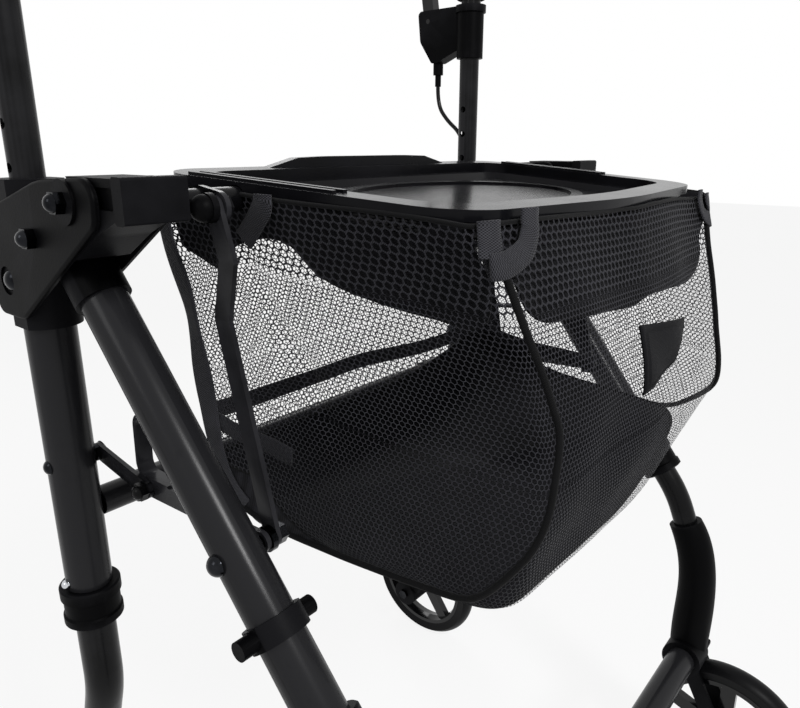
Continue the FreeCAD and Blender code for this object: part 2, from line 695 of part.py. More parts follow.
def brake_shoe(side):
    """Brake arm that turns on a pin above the rear wheel, with a curved pad over the tyre."""
    centre = wheel_centre(side, False)
    pin = shoe_pivot(side)
    inner, outer = WHEEL_R + SHOE_CLEAR, WHEEL_R + SHOE_CLEAR + SHOE_T
    x_in, x_out = abs(centre.x) - TYRE_W * 0.4, abs(centre.x) + TYRE_W * 0.4
    band = pipe_piece(V(side * x_in, centre.y, centre.z), V(side * x_out, centre.y, centre.z), outer, inner)
    middle = math.radians(SHOE_ANGLE_DEG)
    spread = math.radians(SHOE_SPAN_DEG / 2)
    wedge = [V(side * x_in, centre.y, centre.z)]
    for angle in (middle - spread, middle + spread):
        wedge.append(wedge[0] + V(0, -math.sin(angle), math.cos(angle)) * outer * 2)
    pad = band.common(Part.Face(Part.makePolygon(wedge + wedge[:1])).extrude(V(side * (x_out - x_in), 0, 0)))
    reach = outer - SHOE_T / 4
    foot = (LEG_Y - centre.y + reach * math.sin(middle), centre.z + reach * math.cos(middle))
    x_arm = HALF_TRACK + REAR_INSERT_D / 2 + COLLAR_WALL + GAP
    arm = strap(side, [foot, (LEG_Y - pin.y, pin.z)], SHOE_ARM_W, x_arm, x_arm + FLAT_T * 2)
    arm = arm.cut(rod(centre - V(TYRE_W, 0, 0), centre + V(TYRE_W, 0, 0), inner))
    pivot = cross_rod(side, LEG_Y - pin.y, pin.z, HALF_TRACK + GAP, x_arm + FLAT_T * 3, SHOE_PIN_R)
    return pad.fuse([arm, pivot]).removeSplitter()


def bracket_outline():
    """Outline of the moulded covers, from the nose over the top and down the rear leg."""
    tip, top = ARM_PIVOT_AHEAD + NOSE_REACH, ARM_PIVOT_Z + NOSE_R * 0.9
    return [
        (tip, top),
        (ARM_PIVOT_AHEAD * 0.65, ARM_PIVOT_Z + NOSE_R * 0.7),
        (-BRACKET_BACK, ARM_PIVOT_Z - NOSE_R * 0.7),
        (-BRACKET_BACK, BRACKET_LOW),
        (BRACKET_BACK * 0.7, BRACKET_LOW),
        (tip - NOSE_R * 0.2, ARM_PIVOT_Z - NOSE_R * 0.75),
    ], [NOSE_R * 0.8, ARM_PIVOT_AHEAD, BRACKET_BACK * 0.5, BRACKET_BACK * 0.4, BRACKET_BACK, NOSE_R * 0.6]


def bracket_bolts_places():
    return [(ARM_PIVOT_AHEAD, ARM_PIVOT_Z), (PIVOT_AHEAD, PIVOT_Z)]


def bracket_cover(side, outer):
    """One half of the moulded bracket shell, with the recess and the stepped nose outside."""
    near = HALF_TRACK + COVER_HALF if outer else HALF_TRACK - COVER_HALF
    far = near + COVER_T if outer else near - COVER_T
    places, radii = bracket_outline()
    plate = side_plate(side, places, radii, near, far)
    rim_edges = [e for e in plate.Edges if all(abs(abs(v.X) - far) < GAP / 2 for v in e.Vertexes)]
    plate = plate.makeFillet(min(COVER_ROUND, COVER_T * 0.55), rim_edges)
    grow = 1 if outer else -1
    nose = cross_rod(side, ARM_PIVOT_AHEAD, ARM_PIVOT_Z, far - grow * NOSE_STEP_H, far + grow * NOSE_STEP_H, NOSE_STEP_R)
    plate = plate.fuse(nose)
    cuts = [cross_rod(side, a, z, near - grow * OVERRUN, far + grow * OVERRUN, PIVOT_BOLT_R + SLIP)
            for a, z in bracket_bolts_places() + [(0, CORE_BOLT_Z)]]
    if outer:
        cuts.append(cross_rod(side, 0, CORE_BOLT_Z, far - RECESS_DEPTH, far + OVERRUN, RECESS_R))
    return plate.cut(cuts).removeSplitter()


def bracket_cores():
    """Boots around the rear legs, between the covers, with the bush that guides the handle."""
    pieces = []
    for _, side in SIDES:
        x = side * HALF_TRACK
        boot = rod(point(x, 0, BRACKET_LOW - COLLAR_LIP), point(x, 0, REAR_LEG_TOP + LID_H), CORE_R)
        half = COVER_HALF - GAP / 3
        slab = Part.makeBox(half * 2, CORE_R * 2, REAR_LEG_TOP + LID_H)
        slab.translate(V(x - half, LEG_Y - CORE_R, 0))
        boot = boot.common(slab)
        boot = boot.cut(rod(point(x, 0, 0), point(x, 0, REAR_LEG_TOP), REAR_R + SLIP))
        boot = boot.cut(rod(point(x, 0, 0), point(x, 0, REAR_LEG_TOP + LID_H * 2), HANDLE_D / 2 + SLIP))
        far = COVER_HALF + OVERRUN
        bolt = cross_rod(side, 0, CORE_BOLT_Z, HALF_TRACK - far, HALF_TRACK + far, PIVOT_BOLT_R + SLIP)
        pieces.append(boot.cut([bolt, lock_hole(side)]))
    return Part.makeCompound(pieces)


def frame_bolts():
    """Pivot bolts of the brackets and spreaders, and the rear axles."""
    pieces = []
    for _, side in SIDES:
        inner, outer = HALF_TRACK - COVER_HALF - COVER_T, HALF_TRACK + COVER_HALF + COVER_T
        for i, (ahead, z) in enumerate(bracket_bolts_places()):
            step = 0 if i else NOSE_STEP_H
            shank = cross_rod(side, ahead, z, inner - step, outer + step, PIVOT_BOLT_R)
            head = dome_head(side, ahead, z, inner - step, NUT_R, NUT_H * 0.7, -1)
            pieces.append(shank.fuse([cap_nut(side, ahead, z, outer + step), head]))
        tip = (REAR_R - REAR_LEG_WALL + HANDLE_D / 2) / 2
        for seat, outward in ((outer - RECESS_DEPTH, 1), (inner, -1)):
            shank = cross_rod(side, 0, CORE_BOLT_Z, HALF_TRACK + outward * tip, seat, PIVOT_BOLT_R)
            pieces.append(shank.fuse(dome_head(side, 0, CORE_BOLT_Z, seat, NUT_R, NUT_H * 0.6, outward)))
        rear_bar = SPREAD_FRONT_X + FLAT_T / 2 + GAP
        bar_face = rear_bar + FLAT_T + GAP
        shank = cross_rod(side, 0, SPREAD_REAR_Z, rear_bar - GAP, HALF_TRACK + REAR_R, PIVOT_BOLT_R)
        ends = [dome_head(side, 0, SPREAD_REAR_Z, HALF_TRACK + REAR_R, NUT_R * 0.8, NUT_H * 0.6),
                dome_head(side, 0, SPREAD_REAR_Z, rear_bar - GAP, NUT_R * 1.1, NUT_H * 0.6, -1),
                cross_rod(side, 0, SPREAD_REAR_Z, bar_face, HALF_TRACK - REAR_R, NUT_R)]
        ends[2] = ends[2].cut(rod(point(side * HALF_TRACK, 0, 0), point(side * HALF_TRACK, 0, CROSSING_Z), REAR_R))
        pieces.append(shank.fuse(ends))
        centre = wheel_centre(side, False)
        inner_end = HALF_TRACK - REAR_INSERT_D / 2 - COLLAR_WALL
        middle = V(side * (inner_end + abs(centre.x) + HUB_W / 2 + GAP) / 2, centre.y, centre.z)
        pieces.append(axle_bolt(side, middle, abs(middle.x) - inner_end))
    return Part.makeCompound(pieces)


def fold_slot(side, x_in, x_out):
    """Curved slot that lets the arm turn about the leg's pivot while its own bolt stays put."""
    da, dz = ARM_PIVOT_AHEAD - PIVOT_AHEAD, ARM_PIVOT_Z - PIVOT_Z
    reach, start = math.hypot(da, dz), math.atan2(dz, da)
    half = PIVOT_BOLT_R + GAP
    ring = pipe_piece(point(side * x_in, PIVOT_AHEAD, PIVOT_Z), point(side * x_out, PIVOT_AHEAD, PIVOT_Z),
                      reach + half, reach - half)
    turn = math.radians(FOLD_DEG)
    fan = [point(side * x_in, PIVOT_AHEAD, PIVOT_Z)]
    for share in (0, 1):
        angle = start + turn * share
        fan.append(point(side * x_in, PIVOT_AHEAD + reach * 2 * math.cos(angle), PIVOT_Z + reach * 2 * math.sin(angle)))
    wedge = Part.Face(Part.makePolygon(fan + fan[:1])).extrude(V(side * (x_out - x_in), 0, 0))
    ends = []
    for angle in (start, start + turn):
        ends.append(cross_rod(side, PIVOT_AHEAD + reach * math.cos(angle), PIVOT_Z + reach * math.sin(angle),
                              x_in, x_out, half))
    return ring.common(wedge).fuse(ends)


def tray_arm(side):
    """Moulded arm with a sunk side panel, a web down over the front leg and the link's knob."""
    top = ARM_PIVOT_Z + ARM_H * 0.65
    bottom = top - ARM_H
    end = ARM_PIVOT_AHEAD + ARM_LENGTH
    back = ARM_PIVOT_AHEAD - ARM_H * 0.62
    x_in, x_out = HALF_TRACK - ARM_IN, HALF_TRACK + ARM_OUT - CHEEK_T
    box = side_plate(side, [(back, bottom), (back, top), (end, top), (end, bottom)],
                     [ARM_H * 0.45, ARM_H * 0.45, ARM_H * 0.1, ARM_H * 0.1], x_in, x_out + CHEEK_T)
    flange = side_plate(side, [(end - ARM_FLANGE / 2, bottom - PANEL_INSET), (end - ARM_FLANGE / 2, top + PANEL_INSET / 2),
                               (end + ARM_FLANGE, top + PANEL_INSET / 2), (end + ARM_FLANGE, bottom - PANEL_INSET)],
                        [PANEL_INSET] * 4, x_in - PANEL_INSET, x_out + CHEEK_T + PANEL_INSET)
    sleeve = rod(leg_top(side), leg_top(side) + leg_axis(side) * SLEEVE_L, FRONT_R + SLEEVE_WALL)
    web = side_plate(side, [
        (back, bottom + PANEL_MARGIN), (end - PANEL_MARGIN, bottom + PANEL_MARGIN), (end - PANEL_MARGIN, bottom),
        (ARM_PIVOT_AHEAD + ARM_LENGTH * 0.4, bottom - ARM_H * 0.5),
        (ARM_PIVOT_AHEAD - ARM_LENGTH * 0.1, bottom - ARM_H * 1.2),
        (ARM_PIVOT_AHEAD - ARM_LENGTH * 0.5, bottom - ARM_H * 1.4),
        (back - ARM_LENGTH * 0.4, bottom - ARM_H * 0.6),
    ], [PANEL_INSET / 2, PANEL_INSET / 2, PANEL_INSET / 2, ARM_H * 1.5, PANEL_INSET, PANEL_INSET, PANEL_INSET],
        x_in, x_out + CHEEK_T)
    sunk = side_plate(side, [
        (ARM_PIVOT_AHEAD + NOSE_R + PANEL_MARGIN / 2, bottom + PANEL_MARGIN),
        (ARM_PIVOT_AHEAD + NOSE_R + PANEL_MARGIN / 2, top - PANEL_MARGIN),
        (end - PANEL_MARGIN * 1.4, top - PANEL_MARGIN), (end - PANEL_MARGIN * 1.4, bottom + PANEL_MARGIN),
    ], [PANEL_INSET] * 4, x_out + CHEEK_T - PANEL_INSET, x_out + CHEEK_T + OVERRUN)
    arm = box.fuse([flange, web, sleeve]).cut(sunk)
    far = x_out + CHEEK_T + OVERRUN
    bore = rod(leg_top(side) - leg_axis(side) * OVERRUN * 2, leg_top(side) + leg_axis(side) * SLEEVE_L * 2, FRONT_R)
    hole = fold_slot(side, x_in - OVERRUN, far).fuse(
        cross_rod(side, PIVOT_AHEAD, PIVOT_Z, x_in - OVERRUN, far, PIVOT_BOLT_R + SLIP))
    stub_z = ring_z(STUB_AHEAD)
    socket = cross_rod(side, STUB_AHEAD, stub_z, x_in - OVERRUN, HALF_TRACK + ARM_IN / 2, RING_R + SLIP)
    arm = arm.cut([bore, hole, socket]).removeSplitter()
    seat = LINK_X + FLAT_T / 2 + GAP
    flange_r = KNOB_R * 0.95
    knob = cross_rod(side, LINK_TOP_AHEAD, LINK_TOP_Z, seat, seat + KNOB_H * 0.3, flange_r)
    dome = dome_head(side, LINK_TOP_AHEAD, LINK_TOP_Z, seat + KNOB_H * 0.3, KNOB_R * 0.88, KNOB_H * 0.62)
    lug_in = LINK_X - FLAT_T * 1.5 - GAP
    shank = cross_rod(side, LINK_TOP_AHEAD, LINK_TOP_Z, lug_in, seat, PIVOT_BOLT_R)
    nut = hex_nut(side, LINK_TOP_AHEAD, LINK_TOP_Z, lug_in, NUT_R, NUT_H * 0.7, -1)
    return Part.makeCompound([arm, knob.fuse([dome, shank, nut])])


def rim_z(ahead):
    """Height of the tray's rim, which drops towards the front."""
    return TRAY_REAR_Z - (ahead - TRAY_REAR_AHEAD) * TILT


def rim_half(ahead):
    """Half width of the tray's rim, which narrows towards the front."""
    share = (ahead - TRAY_REAR_AHEAD) / (TRAY_FRONT_AHEAD - TRAY_REAR_AHEAD)
    return TRAY_REAR_HALF + (TRAY_FRONT_HALF - TRAY_REAR_HALF) * share


def rim_plan(inset):
    """Left half of the rim's outline moved in by inset: corners as (x, ahead), and radii."""
    rear, front = TRAY_REAR_AHEAD + inset, TRAY_FRONT_AHEAD - inset
    half = rim_half(front) - inset
    turn = math.atan2(TRAY_BOW, half)
    middle = (TRAY_BOW_R * math.tan(turn / 2), front + TRAY_BOW - TRAY_BOW_R * (1 / math.cos(turn) - 1))
    radii = [max(radius - inset * 0.5, radius * 0.3) for radius in (TRAY_REAR_CORNER_R, TRAY_FRONT_CORNER_R)]
    return [(rim_half(rear) - inset, rear), (half, front), middle], radii + [TRAY_BOW_R * 0.9]


def ring_z(ahead):
    return rim_z(ahead) - RING_DROP


def carrier_ring():
    """Bent tube inside the tray's lip, with a stub and a lug on each side."""
    corners, radii = rim_plan(RING_INSET)
    rear, front = corners[0][1], corners[-1][1]
    halves = []
    for _, side in SIDES:
        places = [(0, rear)] + [(side * x, ahead) for x, ahead in corners] + [(0, front)]
        bar = swept(path([point(x, ahead, ring_z(ahead)) for x, ahead in places], radii), RING_R)
        z = ring_z(STUB_AHEAD)
        x_ring = rim_half(STUB_AHEAD) - RING_INSET + RING_R * 0.2
        stub = cross_rod(side, STUB_AHEAD, z, x_ring, HALF_TRACK - ARM_IN + ARM_H / 2, RING_R)
        x_lug = LINK_X - FLAT_T / 2 - GAP
        lug = strap(side, [(STUB_AHEAD, z), (LINK_TOP_AHEAD, LINK_TOP_Z)], LUG_W, x_lug - FLAT_T, x_lug)
        lug = lug.cut(cross_rod(side, LINK_TOP_AHEAD, LINK_TOP_Z, x_lug - FLAT_T * 2, LINK_X, PIVOT_BOLT_R + SLIP))
        halves.append(bar.fuse(stub).fuse(lug))
    return halves[0].fuse(halves[1])


def link(side):
    """Kinked flat bar from the tray arm's knob down to the front leg."""
    drop = LINK_TOP_Z - LINK_FOOT_Z
    run = LINK_FOOT_AHEAD - LINK_TOP_AHEAD
    places = [
        (LINK_TOP_AHEAD, LINK_TOP_Z),
        (LINK_TOP_AHEAD + run * 0.28, LINK_TOP_Z - drop * 0.15),
        (LINK_TOP_AHEAD + run * 0.03, LINK_TOP_Z - drop * 0.33),
        (LINK_FOOT_AHEAD, LINK_FOOT_Z),
    ]
    bar = strap(side, places, LINK_W, LINK_X - FLAT_T / 2, LINK_X + FLAT_T / 2)
    holes = [cross_rod(side, a, z, LINK_X - FLAT_T, LINK_X + FLAT_T, PIVOT_BOLT_R + SLIP)
             for a, z in (places[0], places[-1])]
    return bar.cut(holes)


def link_bolts():
    """Bolts through the front legs that carry links and front spreader bars."""
    pieces = []
    for _, side in SIDES:
        inner = LINK_X - FLAT_T / 2 - GAP
        outer = leg_x(LINK_FOOT_AHEAD) + FRONT_R + GAP * 1.5
        shank = cross_rod(side, LINK_FOOT_AHEAD, LINK_FOOT_Z, inner, outer, PIVOT_BOLT_R)
        head = dome_head(side, LINK_FOOT_AHEAD, LINK_FOOT_Z, outer, NUT_R, NUT_H)
        nut = hex_nut(side, LINK_FOOT_AHEAD, LINK_FOOT_Z, inner, NUT_R, NUT_H, -1)
        spacer = cross_rod(side, LINK_FOOT_AHEAD, LINK_FOOT_Z, LINK_X + FLAT_T / 2 + GAP,
                           SPREAD_FRONT_X - FLAT_T / 2 - GAP, NUT_R * 1.2)
        pieces.append(shank.fuse([head, nut, spacer]))
    return Part.makeCompound(pieces)


def spreader_rear(side):
    """Short flat bar from the rear leg to the knee, with the knee's bolt."""
    x_in = SPREAD_FRONT_X + FLAT_T / 2 + GAP
    places = [(0, SPREAD_REAR_Z), (SPREAD_KNEE_AHEAD, SPREAD_KNEE_Z)]
    bar = strap(side, places, SPREAD_W, x_in, x_in + FLAT_T)
    bar = bar.cut(cross_rod(side, 0, SPREAD_REAR_Z, x_in - FLAT_T, x_in + FLAT_T * 2, PIVOT_BOLT_R + SLIP))
    head = cap_nut(side, SPREAD_KNEE_AHEAD, SPREAD_KNEE_Z, x_in + FLAT_T)
    return bar.fuse(head)


def spreader_front(side):
    """Long flat bar from the front leg to the knee, with the bent strap that is its handle."""
    x_in, x_out = SPREAD_FRONT_X - FLAT_T / 2, SPREAD_FRONT_X + FLAT_T / 2
    places = [(SPREAD_KNEE_AHEAD, SPREAD_KNEE_Z), (LINK_FOOT_AHEAD, LINK_FOOT_Z)]
    bar = strap(side, places, SPREAD_W, x_in, x_out)
    hole = cross_rod(side, LINK_FOOT_AHEAD, LINK_FOOT_Z, x_in - FLAT_T, x_out + FLAT_T, PIVOT_BOLT_R + SLIP)
    slope = (LINK_FOOT_Z - SPREAD_KNEE_Z) / (LINK_FOOT_AHEAD - SPREAD_KNEE_AHEAD)
    base_z = SPREAD_KNEE_Z + SPREAD_W / 2
    back, fore = SPREAD_KNEE_AHEAD - SPREAD_W, SPREAD_KNEE_AHEAD + LOOP_REACH * 0.55
    wire = path([
        point(side * x_out, fore, base_z + (fore - SPREAD_KNEE_AHEAD) * slope),
        point(side * x_out, back, base_z),
        point(side * x_out, back + LOOP_RISE * 0.05, base_z + LOOP_RISE),
        point(side * x_out, back + LOOP_REACH, base_z + LOOP_RISE * 1.1),
    ], [LOOP_R, LOOP_R])
    first = wire.OrderedEdges[0]
    start = first.valueAt(first.FirstParameter)
    heading = first.tangentAt(first.FirstParameter)
    up = heading.cross(V(1, 0, 0)).normalize() * (FLAT_T / 2)
    wide = V(-side * LOOP_W, 0, 0)
    section = Part.makePolygon([start + up, start - up, start - up + wide, start + up + wide, start + up])
    loop = wire.makePipeShell([section], True, False)
    return bar.fuse(loop).cut(hole).removeSplitter()


def rear_cross_tube():
    """Tube between the rear legs, with a moulded bumper near each end as its own solid."""
    ends = [HALF_TRACK - REAR_R * 0.98, -(HALF_TRACK - REAR_R * 0.98)]
    r = REAR_CROSS_D / 2
    bar = pipe_piece(point(ends[0], 0, REAR_CROSS_Z), point(ends[1], 0, REAR_CROSS_Z), r, r - REAR_LEG_WALL)
    pieces = []
    for _, side in SIDES:
        bar = bar.cut(rod(point(side * HALF_TRACK, 0, 0), point(side * HALF_TRACK, 0, CROSSING_Z), REAR_R))
        x = HALF_TRACK - BUMPER_IN
        a, b = point(side * x, 0, REAR_CROSS_Z), point(side * (x - BUMPER_L), 0, REAR_CROSS_Z)
        pieces.append(pipe_piece(a, b, BUMPER_D / 2, r + SLIP))
    return Part.makeCompound([bar] + pieces)


def handle_places(side):
    x = side * HALF_TRACK
    return [point(x, 0, HANDLE_BOTTOM), point(x, 0, HANDLE_TOP), point(x, -HANDLE_BACK, HANDLE_TOP)]


def handle_tube(side):
    """Sliding handle tube, bent back at the top, with height holes and a guide bush below."""
    r = HANDLE_D / 2
    bar = bent_tube(handle_places(side), [HANDLE_BEND_R], r, r - HANDLE_WALL)
    x_in, x_out = HALF_TRACK - r - OVERRUN, HALF_TRACK + r + OVERRUN
    holes = [cross_rod(side, 0, HOLE_FIRST_Z - i * HOLE_PITCH, x_in, x_out, HOLE_R) for i in range(HOLES)]
    z = FERRULE_BOTTOM - CABLE_PLACES[3][1]
    slot = Part.makeBox(CABLE_SLOT_W, HANDLE_D, CABLE_SLOT_L)
    slot.translate(point(side * HALF_TRACK - CABLE_SLOT_W / 2, 0, z - CABLE_SLOT_L * 0.45))
    x = side * HALF_TRACK
    bush_r = REAR_R - REAR_LEG_WALL - SLIP
    bush = pipe_piece(point(x, 0, HANDLE_BOTTOM), point(x, 0, HANDLE_BOTTOM + BUSH_H), bush_r, r)
    return Part.makeCompound([bar.cut(holes + [slot]), bush])


def grip(side):
    """Soft grip sleeve over the upper bend, closed at its rear end."""
    places = handle_places(side)
    lower = point(side * HALF_TRACK, 0, GRIP_BOTTOM)
    end = places[2] + V(0, GRIP_END, 0)
    skin = swept(path([lower, places[1], end], [HANDLE_BEND_R]), GRIP_D / 2)
    bore = swept(path([lower - V(0, 0, OVERRUN), places[1], places[2]], [HANDLE_BEND_R]), HANDLE_D / 2 + SLIP)
    rims = [e for e in skin.Edges if e.Curve.TypeId == "Part::GeomCircle" and e.Closed]
    skin = skin.makeFillet(GRIP_END * 0.8, rims)
    return skin.cut(bore)


def brake_housing(side):
    """Clamp sleeve with the leaf-shaped lever housing, cable barrel and steel ferrule."""
    x = side * HALF_TRACK
    sleeve = rod(point(x, 0, HOUSING_BOTTOM), point(x, 0, HOUSING_TOP), HOUSING_D / 2)
    ring = rod(point(x, 0, HOUSING_TOP), point(x, 0, HOUSING_TOP + HOUSING_RING_H), HOUSING_RING_D / 2)
    rise = HOUSING_TOP + HOUSING_RING_H - BARREL_TOP
    half = LEAF_W / 2
    leaf = side_plate(side, [
        (-HOUSING_D * 0.3, HOUSING_TOP + HOUSING_RING_H), (-LEAF_BACK - half, HOUSING_TOP + HOUSING_RING_H),
        (-LEAF_BACK - half * 0.6, BARREL_TOP + rise * 0.42), (-CABLE_BACK - half * 0.5, BARREL_TOP),
        (-CABLE_BACK + half * 0.5, BARREL_TOP), (-HOUSING_D * 0.3, HOUSING_BOTTOM + rise * 0.18),
    ], [half * 0.3, half * 0.6, half * 1.2, half * 0.2, half * 0.2, half * 0.4], HALF_TRACK - half, HALF_TRACK + half)
    body = sleeve.fuse([ring, leaf])
    slot = side_plate(side, [
        (-LEAF_BACK - half * 2, HOUSING_TOP + HOUSING_RING_H + OVERRUN), (-LEAF_BACK - half * 2, LEVER_PIVOT_Z - LEVER_W * 0.8),
        (-HOUSING_D * 0.62, LEVER_PIVOT_Z - LEVER_W * 0.8), (-HOUSING_D * 0.62, HOUSING_TOP + HOUSING_RING_H + OVERRUN),
    ], [half * 0.2] * 4, HALF_TRACK - LEVER_T / 2 - GAP, HALF_TRACK + LEVER_T / 2 + GAP)
    bore = rod(point(x, 0, 0), point(x, 0, HANDLE_TOP), HANDLE_D / 2 + SLIP)
    pin = cross_rod(side, -LEVER_PIVOT_BACK, LEVER_PIVOT_Z, HALF_TRACK - half * 2, HALF_TRACK + half * 2,
                    LEVER_PIN_R + SLIP)
    body = body.cut([slot, bore, pin]).removeSplitter()
    barrel = rod(point(x, -CABLE_BACK, FERRULE_TOP), point(x, -CABLE_BACK, BARREL_TOP + BARREL_D / 4), BARREL_D / 2)
    ferrule = rod(point(x, -CABLE_BACK, FERRULE_BOTTOM), point(x, -CABLE_BACK, FERRULE_TOP), FERRULE_D / 2)
    return body.fuse([barrel, ferrule])


def brake_lever(side):
    """Squeeze lever under the grip, turning on a pin in the housing."""
    foot = (-LEVER_PIVOT_BACK, LEVER_PIVOT_Z)
    knee = (-LEVER_PIVOT_BACK - LEVER_W * 0.5, LEVER_PIVOT_Z + LEVER_RISE * 0.62)
    knuckle = (-LEVER_PIVOT_BACK - LEVER_REACH * 0.32, LEVER_PIVOT_Z + LEVER_RISE * 0.86)
    tip = (-LEVER_PIVOT_BACK - LEVER_REACH, LEVER_PIVOT_Z + LEVER_RISE * 0.8)
    x_in, x_out = HALF_TRACK - LEVER_T / 2, HALF_TRACK + LEVER_T / 2
    blade = strap(side, [foot, knee, knuckle, tip], LEVER_W, x_in, x_out)
    half = LEAF_W / 2
    pin = cross_rod(side, foot[0], foot[1], HALF_TRACK - half - GAP, HALF_TRACK + half + GAP, LEVER_PIN_R)
    return blade.fuse(pin).removeSplitter()


def lock_knob(side):
    """Knob behind the bracket whose screw clamps the sliding handle tube, shown slackened."""
    x = side * HALF_TRACK
    seat, far = CORE_R + GAP, CORE_R + LOCK_KNOB_H
    middle = (seat + far) / 2
    pin = rod(point(x, -HANDLE_D / 2 - LOCK_PIN_CLEAR, LOCK_KNOB_Z), point(x, -middle, LOCK_KNOB_Z), LOCK_PIN_R)
    neck = rod(point(x, -seat, LOCK_KNOB_Z), point(x, -middle, LOCK_KNOB_Z), LOCK_KNOB_R * 0.6)
    head = rod(point(x, -middle, LOCK_KNOB_Z), point(x, -far, LOCK_KNOB_Z), LOCK_KNOB_R)
    flutes = []
    for i in range(6):
        angle = i * math.pi / 3
        dx, dz = LOCK_KNOB_R * 1.1 * math.cos(angle), LOCK_KNOB_R * 1.1 * math.sin(angle)
        flutes.append(rod(point(x + dx, 0, LOCK_KNOB_Z + dz), point(x + dx, -far * 2, LOCK_KNOB_Z + dz),
                          LOCK_KNOB_R * 0.28))
    return head.cut(flutes).fuse([neck, pin])


def bend_radii(points):
    """Largest even arcs that the runs of a cable's route allow."""
    radii = []
    for before, here, after in zip(points, points[1:], points[2:]):
        run = min((here - before).Length, (after - here).Length)
        half_turn = (here - before).getAngle(after - here) / 2
        radii.append(0.45 * run / math.tan(half_turn))
    return radii


def brake_cable(side, name):
    """Brake cable from the lever's ferrule to the inside of the handle tube."""
    points = [point(side * HALF_TRACK, -back, FERRULE_BOTTOM - below) for back, below in CABLE_PLACES]
    radii = bend_radii(points)
    wire = path(points, radii)
    solid = swept(wire, CABLE_D / 2)
    print("brake cable", name, "length", round(wire.Length, 1), "radii", [round(r) for r in radii],
          "volume share", round(solid.Volume / (math.pi * CABLE_D ** 2 / 4 * wire.Length), 4))
    return solid


def tray_outline(inset, drop):
    """Wire of the tray's outline, moved in by inset and down by drop from the rim."""
    corners, radii = rim_plan(inset)
    places = corners + [(-x, ahead) for x, ahead in reversed(corners)]
    return outline([point(x, ahead, rim_z(ahead) - drop) for x, ahead in places], radii + radii[::-1])


def tray_layer(inset_top, drop_top, inset_low, drop_low):
    return Part.makeLoft([tray_outline(inset_top, drop_top), tray_outline(inset_low, drop_low)], True, True)


def tray_hump():
    """Raised rounded flange on the rear edge, by which the tray is lifted."""
    low = rim_z(TRAY_REAR_AHEAD) - TRAY_WALL
    shares = [(-1, 0), (-0.72, 0.9), (-0.45, 1), (0.45, 1), (0.72, 0.9), (1, 0)]
    places = [point(x * HUMP_HALF, TRAY_REAR_AHEAD + GAP, low + TRAY_WALL / 2 + z * (HUMP_H + TRAY_WALL / 2))
              for x, z in shares]
    floor = [point(x * HUMP_HALF, TRAY_REAR_AHEAD + GAP, low) for x in (1, -1)]
    wire = Part.makePolygon(places + floor + places[:1])
    return Part.Face(wire).extrude(V(0, -HUMP_T, 0))


